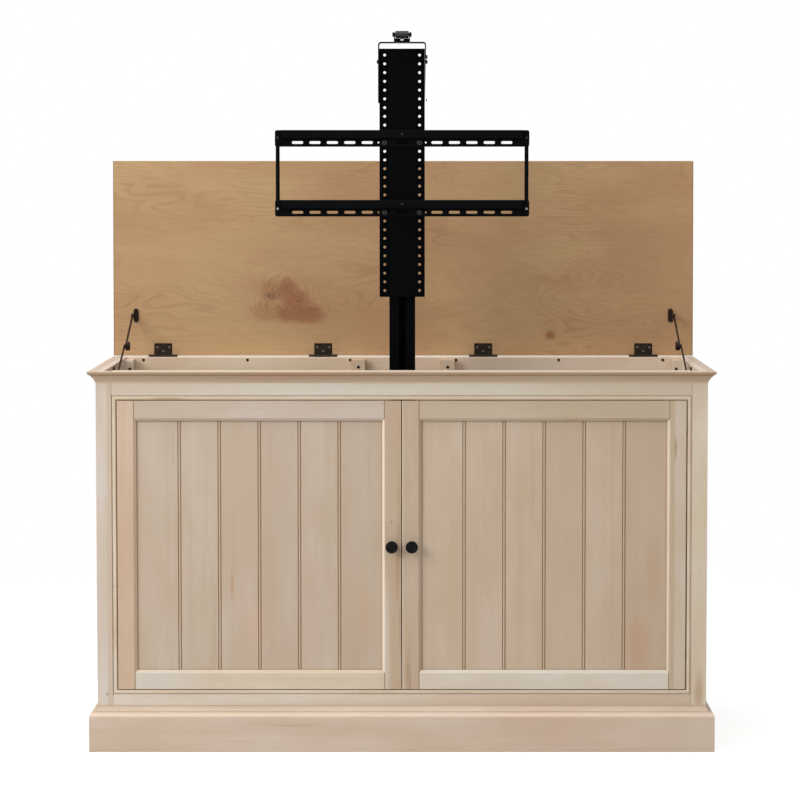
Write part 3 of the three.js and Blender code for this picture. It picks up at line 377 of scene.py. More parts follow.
# Plywood lid: its knots as centres and reaches of run-together spots, and the dark specks in the large one
LID_DARK_SPOTS = (
    ((-0.351, 1.283), (0.037, 0.042)), ((-0.325, 1.244), (0.055, 0.05)), ((-0.3, 1.204), (0.082, 0.039)),
    ((-0.352, 1.2075), (0.05, 0.034)))
LID_PALE_SPOTS = (((-0.414, 1.2155), (0.07, 0.038)), ((-0.395, 1.281), (0.05, 0.042)))
LID_SMALL_SPOTS = (((0.4518, 1.1425), (0.026, 0.024)),)
LID_SPECKS = ((-0.4, 1.2597), (0.046, 0.02))
LID_SPOT_BLEND = 0.6
LID_RING_RISE = 0.11
LID_GOLD = (180, 147, 106)
LID_TAN = (171, 134, 96)
LID_LINE_SHARES = (0.64, 0.54, 0.46, 1.0)
LID_KNOT = (140, 86, 52)
LID_SPECK = (76, 46, 30)
LID_EDGE = (128, 96, 62)
LID_EDGE_WIDTH = 0.003
LID_PLY_DARK = (122, 88, 58)
LID_LAYER = 0.0031
LID_EDGE_SHARE = 0.6
LID_SHIFT = (4.7, 1.9, 3.1)
LID_PLANE = (1.0, 0.0, 1.0)
LID_WARP = 0.036
LID_SMALL_WARP = 0.02
LID_CONTOURS = 330.0
LID_BROAD_CONTOURS = 110.0
LID_BUMP = (0.0002, 0.4)

# The lid's noises: scale along each axis, detail and roughness
LID_NOISES = {
    "warp": ((3.4, 0.0, 7.0), 3.0, 0.5),
    "small_warp": ((14.0, 0.0, 26.0), 3.0, 0.5),
    "field": ((0.8, 0.0, 4.4), 3.0, 0.5),
    "patch": ((3.2, 0.0, 6.0), 3.0, 0.5),
    "speck": ((260.0, 0.0, 330.0), 2.0, 0.5),
    "cloud": ((2.2, 0.0, 5.0), 4.0, 0.5),
    "fibre": ((9.0, 300.0, 420.0), 4.0, 0.6),
}

# How they show: from one value to another, and how much at each
LID_RAMPS = {
    "ring": (0.0, 1.7, LID_RING_RISE, 0.0),
    "cloud": (0.34, 0.66, 0.0, 1.0),
    "pale_knot": (0.45, 1.0, 0.4, 0.0),
    "dark_knot": (0.3, 1.0, 0.6, 0.0),
    "small_knot": (0.2, 1.0, 0.8, 0.0),
    "around_knot": (0.7, 1.9, 0.4, 0.0),
    "patch": (0.38, 0.7, 0.06, 0.34),
    "contour": (0.1, 1.0, 0.0, 1.0),
    "broad": (0.55, 1.0, 0.0, 0.1),
    "fibre": (0.42, 0.78, 0.0, 0.3),
    "speck": (0.48, 0.56, 0.0, 1.0),
    "speck_reach": (0.3, 1.0, 0.85, 0.0),
    "layer": (-0.3, 0.5, 0.0, 1.0),
    "board_edge": (0.35, 0.6, 1.0, 0.0),
    "gloss": (0.3, 0.8, 0.56, 0.7),
}

# Metal and plastic: colour, roughness, specular, draw axis, metallic, worn colour, half of a paler strip
METALS = {
    "black_steel_coat": ((6, 7, 8), 0.46, 0.03, 0, 0.0),
    "black_plate_coat": ((3, 4, 5), 0.46, 0.015, 2, 0.0, None, 0.0372),
    "black_mast_coat": ((5, 6, 8), 0.42, 0.02, 2, 0.0),
    "dark_bronze_metal": ((32, 25, 20), 0.44, 0.15, 0, 0.15, (70, 52, 37)),
    "stay_bronze_metal": ((32, 23, 18), 0.42, 0.12, 1, 0.1, (74, 54, 38)),
    "black_knob_metal": ((6, 6, 6), 0.34, 0.12, 2, 0.1),
    "bolt_zinc": ((42, 44, 48), 0.42, 0.3, 2, 0.6),
    "bright_zinc": ((118, 124, 132), 0.34, 0.4, 2, 0.9),
    "worn_screw": ((104, 84, 70), 0.36, 0.4, 2, 0.5),
    "black_screw": ((24, 20, 18), 0.42, 0.3, 2, 0.4),
    "black_plastic_roller": ((14, 14, 15), 0.55, 0.4, 0, 0.0),
}

# Metal's noises as for wood, and how they show: from one value to another, and how much at each
METAL_NOISES = {
    "peel": (1400.0, 1400.0, 2.0, 0.5),
    "drawn": (520.0, 6.0, 3.0, 0.5),
    "patch": (9.0, 9.0, 4.0, 0.6),
    "scuff": (95.0, 95.0, 5.0, 0.65),
}
METAL_RAMPS = {
    "patch": (0.35, 0.75, 0.0, 0.6),
    "drawn": (0.45, 0.8, 0.0, 0.35),
    "scuff": (0.5, 0.72, 0.0, 0.6),
}
PALE_GAIN = 1.4
STRIP_GAIN = 1.5
STRIP_SHARE = 0.8
GAIN_LIFT = 2.0
DRAWN_RELIEF = 0.5
METAL_BUMP = (0.00008, 0.35)
SCUFF_GLOSS = 0.14
PATCH_GLOSS = 0.1
MEAN_GLOSS = 0.12

# A screen's white, and the places of the colours on a mix node
SCREEN_WHITE = 255.0
MIX_FIRST = 6
MIX_SECOND = 7
MIX_RESULT = 2

SIDES = (("left", -1), ("right", 1))


def linear(red, green, blue):
    """A colour written as on a screen, 0 to 255, as the shader's linear colour."""
    screen = Color((red / SCREEN_WHITE, green / SCREEN_WHITE, blue / SCREEN_WHITE))
    return (*screen.from_srgb_to_scene_linear(), 1.0)


def tinted(colour, shares):
    """A screen colour with each part scaled, as linear."""
    return linear(*(min(SCREEN_WHITE, value * share) for value, share in zip(colour, shares)))


class Nodes:
    """A material's node tree, with short calls to add and join nodes."""

    def __init__(self, name):
        self.material = bpy.data.materials.new(name)
        self.material.use_nodes = True
        self.tree = self.material.node_tree
        self.shader = self.tree.nodes["Principled BSDF"]
        places = self.tree.nodes.new("ShaderNodeTexCoord")
        self.place = places.outputs["Object"]
        self.normal = places.outputs["Normal"]

    def put(self, socket, value):
        if hasattr(value, "is_output"):
            self.tree.links.new(value, socket)
        else:
            socket.default_value = value

    def math(self, operation, first, second=0.0, third=0.0):
        node = self.tree.nodes.new("ShaderNodeMath")
        node.operation = operation
        for socket, value in zip(node.inputs, (first, second, third)):
            self.put(socket, value)
        return node.outputs[0]

    def vector(self, operation, first, second=(0.0, 0.0, 0.0)):
        node = self.tree.nodes.new("ShaderNodeVectorMath")
        node.operation = operation
        self.put(node.inputs[0], first)
        self.put(node.inputs[1], second)
        number = operation in ("LENGTH", "DISTANCE", "DOT_PRODUCT")
        return node.outputs["Value" if number else "Vector"]

    def stretched(self, scale, shift=(0.0, 0.0, 0.0), vector=None):
        node = self.tree.nodes.new("ShaderNodeMapping")
        self.put(node.inputs["Vector"], self.place if vector is None else vector)
        node.inputs["Location"].default_value = shift
        node.inputs["Scale"].default_value = scale
        return node.outputs["Vector"]

    def noise(self, vector, detail, roughness, colour=False):
        node = self.tree.nodes.new("ShaderNodeTexNoise")
        self.put(node.inputs["Vector"], vector)
        node.inputs["Scale"].default_value = 1.0
        node.inputs["Detail"].default_value = detail
        node.inputs["Roughness"].default_value = roughness
        return node.outputs["Color" if colour else "Fac"]

    def grain(self, row, along, shift=(0.0, 0.0, 0.0), vector=None, colour=False):
        """A noise drawn out along one axis, from its scales across and along, detail and roughness."""
        across_scale, along_scale, detail, roughness = row
        scale = tuple(along_scale if axis == along else across_scale for axis in range(3))
        return self.noise(self.stretched(scale, shift, vector), detail, roughness, colour)

    def ramp(self, value, low, high, low_out=0.0, high_out=1.0):
        node = self.tree.nodes.new("ShaderNodeMapRange")
        node.interpolation_type = "SMOOTHSTEP"
        self.put(node.inputs["Value"], value)
        node.inputs["From Min"].default_value = low
        node.inputs["From Max"].default_value = high
        node.inputs["To Min"].default_value = low_out
        node.inputs["To Max"].default_value = high_out
        return node.outputs["Result"]

    def mix(self, share, first, second, blend="MIX"):
        node = self.tree.nodes.new("ShaderNodeMix")
        node.data_type = "RGBA"
        node.blend_type = blend
        self.put(node.inputs["Factor"], share)
        self.put(node.inputs[MIX_FIRST], first)
        self.put(node.inputs[MIX_SECOND], second)
        return node.outputs[MIX_RESULT]

    def axis(self, vector, index):
        node = self.tree.nodes.new("ShaderNodeSeparateXYZ")
        self.put(node.inputs[0], vector)
        return node.outputs[index]

    def join(self, *parts):
        node = self.tree.nodes.new("ShaderNodeCombineXYZ")
        for socket, value in zip(node.inputs, parts):
            self.put(socket, value)
        return node.outputs[0]

    def white(self, value):
        node = self.tree.nodes.new("ShaderNodeTexWhiteNoise")
        node.noise_dimensions = "1D"
        self.put(node.inputs["W"], value)
        return node.outputs["Value"]

    def open_share(self, reach):
        node = self.tree.nodes.new("ShaderNodeAmbientOcclusion")
        node.samples = CREVICE_SHADE_SAMPLES
        node.inputs["Distance"].default_value = reach
        return node.outputs["AO"]

    def from_spot(self, place, centre, reach):
        """How far a place is from a spot, 1 at the edge of its ellipsoid."""
        near = self.vector("SUBTRACT", place, centre)
        return self.vector("LENGTH", self.vector("DIVIDE", near, reach))

    def bump(self, height, depth, strength):
        node = self.tree.nodes.new("ShaderNodeBump")
        node.inputs["Strength"].default_value = strength
        node.inputs["Distance"].default_value = depth
        self.put(node.inputs["Height"], height)
        self.put(self.shader.inputs["Normal"], node.outputs["Normal"])

    def finish(self, colour, roughness, specular, metallic=0.0):
        self.put(self.shader.inputs["Base Color"], colour)
        self.put(self.shader.inputs["Roughness"], roughness)
        self.shader.inputs["Metallic"].default_value = metallic
        self.shader.inputs["Specular IOR Level"].default_value = specular
        return self.material


def line_share(nodes, distance, half, strength):
    """How much of a line's colour shows at a distance from its middle."""
    return nodes.ramp(distance, half * LINE_CORE, half * LINE_END, strength, 0.0)


def bare_wood(name, along, colour, seed, streaks, crevice_shade, plank, marks, lines):
    """Unfinished hardwood: clouds, flushes, bands, fibres, pores and mineral streaks, the marks and lines given,
    and painted shade in the beadboard's grooves and in crevices.
    """
    nodes = Nodes(name)
    place = nodes.place
    noises = {}
    if plank:
        centre, pitch = plank
        across = nodes.math("DIVIDE", nodes.math("SUBTRACT", nodes.axis(place, 0), centre), pitch)
        number = nodes.math("FLOOR", across)
        noises["plank"] = nodes.white(number)
        aside = nodes.join(0.0, nodes.math("MULTIPLY", number, PLANK_SHIFT), noises["plank"])
        place = nodes.vector("ADD", place, aside)
    shift = tuple(seed * step for step in SEED_STEPS)
    bend = nodes.grain(WOOD_NOISES["bend"], along, shift, place, colour=True)
    wander = nodes.vector("MULTIPLY", nodes.vector("SUBTRACT", bend, HALVES), (WANDER, WANDER, WANDER))
    bent = nodes.vector("ADD", place, wander)
    spot = nodes.vector("ADD", nodes.place, wander)
    noises["cloud"] = nodes.grain(WOOD_NOISES["cloud"], along, shift, place)
    noises["flush"] = nodes.grain(WOOD_NOISES["flush"], along, shift[::-1], place)
    for kind in ("band", "fibre", "streak"):
        noises[kind] = nodes.grain(WOOD_NOISES[kind], along, shift, bent)
    pore = nodes.ramp(nodes.grain(WOOD_NOISES["pore"], along, shift, place), *PORE_EDGES)
    strengths = {"streak": streaks}
    tone = tinted(colour, WOOD_TINTS["pale"])
    for kind, begins, full, share, tint in WOOD_LAYERS:
        if kind in noises:
            shown = nodes.ramp(noises[kind], begins, full, 0.0, share * strengths.get(kind, 1.0))
            tone = nodes.mix(shown, tone, tinted(colour, WOOD_TINTS[tint]))
    for centre, reach, mark_colour, strength in marks:
        near = nodes.from_spot(spot, centre, reach)
        tone = nodes.mix(nodes.ramp(near, MARK_CORE, 1.0, strength, 0.0), tone, linear(*mark_colour))
    tone = nodes.mix(nodes.math("MULTIPLY", pore, PORE_SHARE), tone, tinted(colour, WOOD_TINTS["brown"]))
    for axis, level, half, line_colour, strength in lines:
        distance = nodes.math("ABSOLUTE", nodes.math("SUBTRACT", nodes.axis(nodes.place, axis), level))
        tone = nodes.mix(line_share(nodes, distance, half, strength), tone, linear(*line_colour))
    # Painted shade in the beadboard's grooves beside each plank seam
    if plank:
        from_seam = nodes.math("ABSOLUTE", nodes.math("SUBTRACT", across, nodes.math("ROUND", across)))
        from_quirk = nodes.math("SUBTRACT", from_seam, QUIRK_HALF_SPACING / pitch)
        quirk_shade = line_share(nodes, nodes.math("ABSOLUTE", from_quirk), QUIRK_HALF / pitch, QUIRK_SHADE_SHARE)
        inside = nodes.math("LESS_THAN", nodes.math("ABSOLUTE", across), PLANK_SEAMS_REACH)
        tone = nodes.mix(nodes.math("MULTIPLY", quirk_shade, inside), tone, linear(*QUIRK_SHADE_COLOUR))
    # Painted shade: browner where ambient occlusion finds a crevice
    painted_crevice_shade = nodes.ramp(nodes.open_share(CREVICE_SHADE_REACH), *CREVICE_SHADE_EDGES, crevice_shade, 0.0)
    tone = nodes.mix(painted_crevice_shade, tone, linear(*CREVICE_SHADE_COLOUR))
    raised = nodes.math("MULTIPLY", noises["fibre"], FIBRE_RELIEF)
    nodes.bump(nodes.math("SUBTRACT", raised, nodes.math("MULTIPLY", pore, PORE_RELIEF)), *WOOD_BUMP)
    return nodes.finish(tone, nodes.ramp(noises["fibre"], *WOOD_GLOSS), WOOD_SPECULAR)


def steel(name, colour, roughness, specular, along, metallic, wear=None, strip=None):
    """Coated or drawn metal: orange peel, draw lines, uneven gloss, and a paler strip or wear if given."""
    nodes = Nodes(name)
    peel, drawn, patch, scuff = (nodes.grain(row, along) for row in METAL_NOISES.values())
    pale = linear(*(value * PALE_GAIN + GAIN_LIFT for value in colour))
    tone = nodes.mix(nodes.ramp(patch, *METAL_RAMPS["patch"]), linear(*colour), pale)
    tone = nodes.mix(nodes.ramp(drawn, *METAL_RAMPS["drawn"]), tone, pale)
    if strip:
        across = nodes.math("ABSOLUTE", nodes.axis(nodes.place, 0))
        middle = nodes.ramp(across, strip - GAP, strip + GAP, STRIP_SHARE, 0.0)
        tone = nodes.mix(middle, tone, linear(*(value * STRIP_GAIN + GAIN_LIFT for value in colour)))
    if wear:
        tone = nodes.mix(nodes.ramp(scuff, *METAL_RAMPS["scuff"]), tone, linear(*wear))
    nodes.bump(nodes.math("ADD", peel, nodes.math("MULTIPLY", drawn, DRAWN_RELIEF)), *METAL_BUMP)
    uneven = nodes.math("MULTIPLY", scuff, SCUFF_GLOSS)
    uneven = nodes.math("ADD", uneven, nodes.math("MULTIPLY", patch, PATCH_GLOSS))
    return nodes.finish(tone, nodes.math("ADD", uneven, roughness - MEAN_GLOSS), specular, metallic)


METAL = {name: steel(name, *values) for name, values in METALS.items()}


def placed_marks(node):
    """The marks on a node, at its front face."""
    face = PANEL_FACE if node.endswith("_panel") else FRAME_FACE
    return tuple(((x, face, z), (wide, MARK_DEPTH, high), colour, strength)
                 for (x, z), (wide, high), colour, strength in MARKS.get(node, ()))


def placed_lines(node):
    """The lines on a node, with each level worked out from the node's box."""
    low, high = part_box(node)
    levels = {"low": lambda axis, inset: low[axis] + inset, "high": lambda axis, inset: high[axis] - inset}
    return tuple((axis, levels[end](axis, inset), half, colour, strength)
                 for axis, end, inset, half, colour, strength in LINES.get(node, ()))


slots = {part["node"]: part["material_slot"] for part in frame["record"]["subparts"]}


def link(name, mesh):
    piece = bpy.data.objects.new(name, mesh)
    bpy.context.scene.collection.objects.link(piece)
    return piece


def dressed(name, mesh, body, slot, material):
    """A new piece of one material, riding on a body."""
    piece = link(name, mesh)
    mesh.materials.clear()
    mesh.materials.append(material)
    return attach(piece, body)


def body_of(node):
    for body, members in frame["record"]["behaviour"]["bodies"].items():
        if node in members:
            return body
    raise KeyError(node)


def stand_in(name, mesh, node, material):
    """A piece that takes the place of one node."""
    piece = dressed(name, mesh, body_of(node), slots[node], material)
    shading = piece.modifiers.new("even_shading", "WEIGHTED_NORMAL")
    shading.keep_sharp = True
    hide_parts(node)
    return piece


def ease_edges(work, ease):
    """Round the sharp edges of a mesh that is being built."""
    bmesh.ops.remove_doubles(work, verts=work.verts, dist=SAME_POINT)
    bmesh.ops.dissolve_limit(work, angle_limit=FLAT_ANGLE, verts=work.verts, edges=work.edges)
    sharp = [edge for edge in work.edges if edge.calc_face_angle(0.0) > SHARP_ANGLE]
    bmesh.ops.bevel(work, geom=sharp, offset=ease, segments=EASE_STEPS, profile=BEVEL_ROUND,
                    affect="EDGES", clamp_overlap=True)


def to_mesh(work, name):
    mesh = bpy.data.meshes.new(name)
    work.to_mesh(mesh)
    work.free()
    mesh.shade_smooth()
    mesh.set_sharp_from_angle(angle=SMOOTH_ANGLE)
    return mesh


def eased(node, material, ease):
    """A copy of a node with its sharp edges eased, as sanded wood and coated sheet have them."""
    work = bmesh.new()
    work.from_mesh(frame["nodes"][node].data)
    ease_edges(work, ease)
    return stand_in(f"{node}_eased", to_mesh(work, node), node, material)


def turned(profile, radius, length, steps=ROUND_STEPS, drive=None, driven=(), closed=False):
    """A mesh turned around +Z from shares of a radius and a length. Rings in driven follow the drive."""
    work = bmesh.new()
    rings = []
    for index, (across, along) in enumerate(profile):
        if across == 0.0:
            rings.append([work.verts.new((0.0, 0.0, along * length))])
            continue
        ring = []
        for step in range(steps):
            turn = 2.0 * math.pi * step / steps
            reach = across * radius * (drive(turn) if index in driven else 1.0)
            ring.append(work.verts.new((reach * math.cos(turn), reach * math.sin(turn), along * length)))
        rings.append(ring)
    pairs = list(zip(rings, rings[1:]))
    if closed:
        pairs.append((rings[-1], rings[0]))
    for low, high in pairs:
        for step in range(steps):
            after = (step + 1) % steps
            corners = [low[step % len(low)], low[after % len(low)]]
            corners += [high[after % len(high)], high[step % len(high)]]
            unique = list(dict.fromkeys(corners))
            if len(unique) > 2:
                work.faces.new(unique)
    bmesh.ops.recalc_face_normals(work, faces=work.faces)
    return to_mesh(work, "turned")


def stand(mesh, place, facing, spin=0.0):
    """Turn a mesh made around +Z to look along facing, and set it at place."""
    turn = Vector((0.0, 0.0, 1.0)).rotation_difference(facing).to_matrix().to_4x4()
    mesh.transform(Matrix.Translation(place) @ turn @ Matrix.Rotation(spin, 4, "Z"))
    return mesh


def cross_drive(turn):
    """Outline of a cross recess, as a share of its reach."""
    least, most = sorted((abs(math.cos(turn)), abs(math.sin(turn))))
    return min(1.0 / most, CROSS_HALF / max(least, CROSS_HALF))


def hex_drive(turn):
    """Outline of a hexagon, as a share of its corner radius."""
    sector = math.pi / 3.0
    return math.cos(sector / 2.0) / math.cos((turn % sector) - sector / 2.0)


DRIVES = {"cross": cross_drive, "hexagon": hex_drive}


def screw(kind, name, body, place, facing, turns=1):
    """A domed screw head with a recess, standing on a face at place and looking along facing."""
    radius, rise, drive, slot, metal, turn = HEADS[kind]
    mesh = turned(SCREW_PROFILE, radius, rise, drive=DRIVES[drive], driven=SCREW_DRIVEN)
    return dressed(name, stand(mesh, place, facing, turns * turn), body, slot, METAL[metal])


def strip_outline(low_x, low_z, high_x, high_z, radius):
    """A rectangle with round corners as a ring of (x, z) points. Slots and holes have full corners."""
    corners = ((high_x - radius, low_z + radius), (high_x - radius, high_z - radius),
               (low_x + radius, high_z - radius), (low_x + radius, low_z + radius))
    points = {}
    for index, (x, z) in enumerate(corners):
        for step in range(CORNER_STEPS + 1):
            turn = (index - 1 + step / CORNER_STEPS) * math.pi / 2.0
            point = (x + radius * math.cos(turn), z + radius * math.sin(turn))
            points[tuple(round(value, SAME_DIGITS) for value in point)] = point
    return list(points.values())


def in_order(items):
    """Put the points, edges or faces of a mesh in the order of their places, as every run has them."""
    places = {}
    for item in items:
        corners = [vertex.co for vertex in getattr(item, "verts", (item,))]
        places[item] = tuple(round(value, SAME_DIGITS) for value in sum(corners, Vector()) / len(corners))
    ranks = {item: rank for rank, item in enumerate(sorted(places, key=places.get))}
    items.sort(key=ranks.get)


def add_sheet(work, outline, holes, front, thickness):
    """Add a flat sheet across Y with holes through it to a mesh that is being built."""
    edges = []
    for points in (outline, *holes):
        ring = [work.verts.new((x, front, z)) for x, z in points]
        edges += [work.edges.new(pair) for pair in zip(ring, ring[1:] + ring[:1])]
    filled = bmesh.ops.triangle_fill(work, use_beauty=True, edges=edges, normal=(0.0, -1.0, 0.0))
    faces = [item for item in filled["geom"] if isinstance(item, bmesh.types.BMFace)]
    grown = bmesh.ops.extrude_face_region(work, geom=faces, use_keep_orig=True)
    moved = [item for item in grown["geom"] if isinstance(item, bmesh.types.BMVert)]
    bmesh.ops.translate(work, vec=(0.0, thickness, 0.0), verts=moved)
    for items in (work.verts, work.edges, work.faces):
        in_order(items)


def add_prism(work, outline, low, high, place):
    """Add a closed outline run from low to high: place turns (first, second, along) into a point."""
    ends = [[work.verts.new(place(*point, along)) for point in outline] for along in (low, high)]
    for ring in ends:
        work.faces.new(ring)
    for index, vertex in enumerate(ends[0]):
        after = (index + 1) % len(outline)
        work.faces.new((vertex, ends[0][after], ends[1][after], ends[1][index]))


def along_z(first, second, along):
    return (first, second, along)


def along_x(first, second, along):
    return (along, first, second)


def box_outline(left, low, right, high):
    return [(left, low), (right, low), (right, high), (left, high)]


def rounded(points, radii):
    """A ring of points with each of its right-angled corners rounded by its own radius."""
    result = []
    for index, radius in enumerate(radii):
        corner = Vector(points[index])
        before = (Vector(points[index - 1]) - corner).normalized() * radius
        after = (Vector(points[(index + 1) % len(points)]) - corner).normalized() * radius
        centre = corner + before + after
        for step in range(CORNER_STEPS + 1):
            turn = step / CORNER_STEPS * math.pi / 2.0
            result.append(tuple(centre - after * math.cos(turn) - before * math.sin(turn)))
    return result


# Boards and mouldings
for index, (node, (along, colour, streaks, crevice_shade)) in enumerate(sorted(WOODS.items())):
    plank = None
    ease = BOARD_EASE
    if node in ("left_door_panel", "right_door_panel"):
        low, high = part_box(node)
        plank = ((low.x + high.x) / 2.0, PLANK_PITCH)
    elif "_door_" in node:
        ease = MEMBER_EASE
    wood = bare_wood(f"{node}_wood", along, colour, index + 1.0, streaks, crevice_shade, plank,
                     placed_marks(node), placed_lines(node))
    eased(node, wood, ease)


def from_spots(nodes, place, spots):
    """How far a place on the lid is from the nearest of spots that run together, 1 at their edge."""
    joined = None
    for (x, z), (wide, high) in spots:
        near = nodes.from_spot(place, (x, 0.0, z), (wide, 1.0, high))
        joined = near if joined is None else nodes.math("SMOOTH_MIN", joined, near, LID_SPOT_BLEND)
    return joined


def plywood_face(name, axis_place, board_normal):
    """Rotary-cut plywood: faint contour lines, a large knot and a small one, and layered edges."""
    nodes = Nodes(name)

    def noise(kind, vector=None, colour=False):
        scale, detail, roughness = LID_NOISES[kind]
        return nodes.noise(nodes.stretched(scale, LID_SHIFT, vector), detail, roughness, colour)

    def shown(value, kind):
        return nodes.ramp(value, *LID_RAMPS[kind])

    bent = nodes.vector("MULTIPLY", nodes.place, LID_PLANE)
    bent = nodes.mix(LID_WARP, bent, noise("warp", colour=True), "ADD")
    bent = nodes.mix(LID_SMALL_WARP, bent, noise("small_warp", colour=True), "ADD")
    mean = (LID_WARP + LID_SMALL_WARP) / 2.0
    centred = nodes.vector("MULTIPLY", nodes.vector("SUBTRACT", bent, (mean, mean, mean)), LID_PLANE)
    dark = from_spots(nodes, centred, LID_DARK_SPOTS)
    pale = from_spots(nodes, centred, LID_DARK_SPOTS + LID_PALE_SPOTS)
    small = from_spots(nodes, centred, LID_SMALL_SPOTS)
    field = noise("field", bent)
    for near in (pale, small):
        field = nodes.math("ADD", field, shown(near, "ring"))
    contour = nodes.math("SINE", nodes.math("MULTIPLY", field, LID_CONTOURS))
    broad = nodes.math("SINE", nodes.math("MULTIPLY", field, LID_BROAD_CONTOURS))
    near_specks = shown(from_spots(nodes, centred, (LID_SPECKS,)), "speck_reach")
    speck = nodes.math("MULTIPLY", shown(noise("speck"), "speck"), near_specks)
    fibre = noise("fibre", bent)
    tone = nodes.mix(shown(noise("cloud"), "cloud"), linear(*LID_GOLD), linear(*LID_TAN))
    for near, kind in ((pale, "pale_knot"), (dark, "dark_knot"), (small, "small_knot")):
        tone = nodes.mix(shown(near, kind), tone, linear(*LID_KNOT))
    around = nodes.math("MAXIMUM", shown(pale, "around_knot"), shown(noise("patch"), "patch"))
    fine = nodes.math("MULTIPLY", shown(contour, "contour"), around)
    for share in (fine, shown(broad, "broad"), shown(fibre, "fibre")):
        tone = nodes.mix(share, tone, LID_LINE_SHARES, "MULTIPLY")
    tone = nodes.mix(speck, tone, linear(*LID_SPECK))
    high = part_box("lid_board")[1]
    from_side = nodes.math("SUBTRACT", high.x, nodes.math("ABSOLUTE", nodes.axis(nodes.place, 0)))
    from_top = nodes.math("SUBTRACT", high.z, nodes.axis(nodes.place, 2))
    rim = line_share(nodes, nodes.math("MINIMUM", from_side, from_top), LID_EDGE_WIDTH, LID_EDGE_SHARE)
    tone = nodes.mix(rim, tone, linear(*LID_EDGE))
    level = nodes.vector("DOT_PRODUCT", nodes.vector("SUBTRACT", nodes.place, axis_place), board_normal)
    layer = nodes.math("SINE", nodes.math("MULTIPLY", level, 2.0 * math.pi / LID_LAYER))
    layers = nodes.mix(shown(layer, "layer"), linear(*LID_GOLD), linear(*LID_PLY_DARK))
    facing = nodes.vector("DOT_PRODUCT", nodes.normal, board_normal)
    tone = nodes.mix(shown(nodes.math("ABSOLUTE", facing), "board_edge"), tone, layers)
    nodes.bump(fibre, *LID_BUMP)
    return nodes.finish(tone, shown(fibre, "gloss"), WOOD_SPECULAR)


def joint_named(name):
    return next(joint for joint in frame["joints"] if joint["name"] == name)


# Plywood lid
lid_joint = joint_named("lid_hinge")
lid_axis = Vector(lid_joint["pos_m"])
lid_turn = Matrix.Rotation(-math.radians(lid_joint["range_deg"][1]), 3, "X")
lid_normal = lid_turn @ Vector((0.0, 0.0, 1.0))
eased("lid_board", plywood_face("lid_plywood", tuple(lid_axis), tuple(lid_normal)), BOARD_EASE)

# Metal that keeps its shape: eased edges and a coat, by how the node's name begins
COATS = (
    ("tie_bar_", "black_steel_coat"),
    ("lid_lifter", "black_steel_coat"),
    ("door_hinge_", "black_steel_coat"),
    ("lift_base_column", "black_mast_coat"),
    ("mast_stage", "black_mast_coat"),
    ("lid_hinge_leaf_", "dark_bronze_metal"),
    ("rim_hinge_leaf_", "dark_bronze_metal"),
    ("stay_", "stay_bronze_metal"),
)
for node in slots:
    for beginning, coat in COATS:
        if node.startswith(beginning):
            eased(node, METAL[coat], METAL_EASE)

# Perforated plate of the carriage, with its flanges, neck and slider
low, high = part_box("carriage_plate")
hole_margin = (high.z - low.z - (HOLE_ROWS - 1) * HOLE_PITCH) / 2.0
holes = []
for row in range(HOLE_ROWS):
    height = low.z + hole_margin + row * HOLE_PITCH
    for x in (-HOLE_COLUMN, HOLE_COLUMN):
        holes.append(strip_outline(
            x - HOLE_RADIUS, height - HOLE_RADIUS, x + HOLE_RADIUS, height + HOLE_RADIUS, HOLE_RADIUS))
plate = bmesh.new()
add_sheet(plate, strip_outline(low.x, low.z, high.x, high.z, SHEET_CORNER), holes, low.y, SHEET)
for _, side in SIDES:
    near, far = sorted((side * high.x, side * (high.x - SHEET)))
    add_prism(plate, box_outline(near, low.y + SHEET, far, low.y + FLANGE_DEPTH), low.z, high.z, along_z)
slider_low = low.z + SLIDER_LIFT
slider_high = slider_low + SLIDER_HEIGHT
add_prism(plate, box_outline(-NECK_HALF, low.y + SHEET, NECK_HALF, high.y - SLIDER_DEPTH),
          slider_low, slider_high, along_z)
add_prism(plate, box_outline(-SLIDER_HALF, high.y - SLIDER_DEPTH, SLIDER_HALF, high.y),
          slider_low, slider_high, along_z)
bmesh.ops.recalc_face_normals(plate, faces=plate.faces)
ease_edges(plate, METAL_EASE)
stand_in("carriage_plate_sheet", to_mesh(plate, "plate"), "carriage_plate", METAL["black_plate_coat"])

# Television rails: a slotted flange and the folded band over it
for level in ("upper", "lower"):
    low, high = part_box(f"{level}_rail")
    row = low.z + SLOT_ROW_RISE
    holes = [strip_outline(-MIDDLE_SLOT_HALF, low.z + MIDDLE_SLOT_LOW,
                           MIDDLE_SLOT_HALF, low.z + MIDDLE_SLOT_HIGH, MIDDLE_SLOT_ROUND)]
    for _, side in SIDES:
        spots = [(side * PILOT_PLACE, PILOT_RADIUS, PILOT_RADIUS)]
        for index in range(SLOTS_PER_SIDE):
            spots.append((side * (SLOT_FIRST + index * SLOT_PITCH), SLOT_HALF_LENGTH, SLOT_HALF_WIDTH))
        for x, half, tall in spots:
            holes.append(strip_outline(x - half, row - tall, x + half, row + tall, tall))
    rail = bmesh.new()
    add_sheet(rail, strip_outline(low.x, low.z, high.x, high.z, RAIL_CORNER), holes, high.y - SHEET, SHEET)
    back = high.y - SHEET
    band_low = low.z + RAIL_BAND_LOW
    band = rounded([
        (back, band_low), (low.y, band_low), (low.y, high.z), (back, high.z),
        (back, high.z - SHEET), (low.y + SHEET, high.z - SHEET),
        (low.y + SHEET, band_low + SHEET), (back, band_low + SHEET),
    ], (GAP, RAIL_BEND, RAIL_BEND, GAP, GAP, GAP, GAP, GAP))
    add_prism(rail, band, low.x + RAIL_BAND_INSET, high.x - RAIL_BAND_INSET, along_x)
    bmesh.ops.recalc_face_normals(rail, faces=rail.faces)
    ease_edges(rail, METAL_EASE)
    node = f"{level}_rail"
    stand_in(f"{node}_sheet", to_mesh(rail, node), node, METAL["black_steel_coat"])

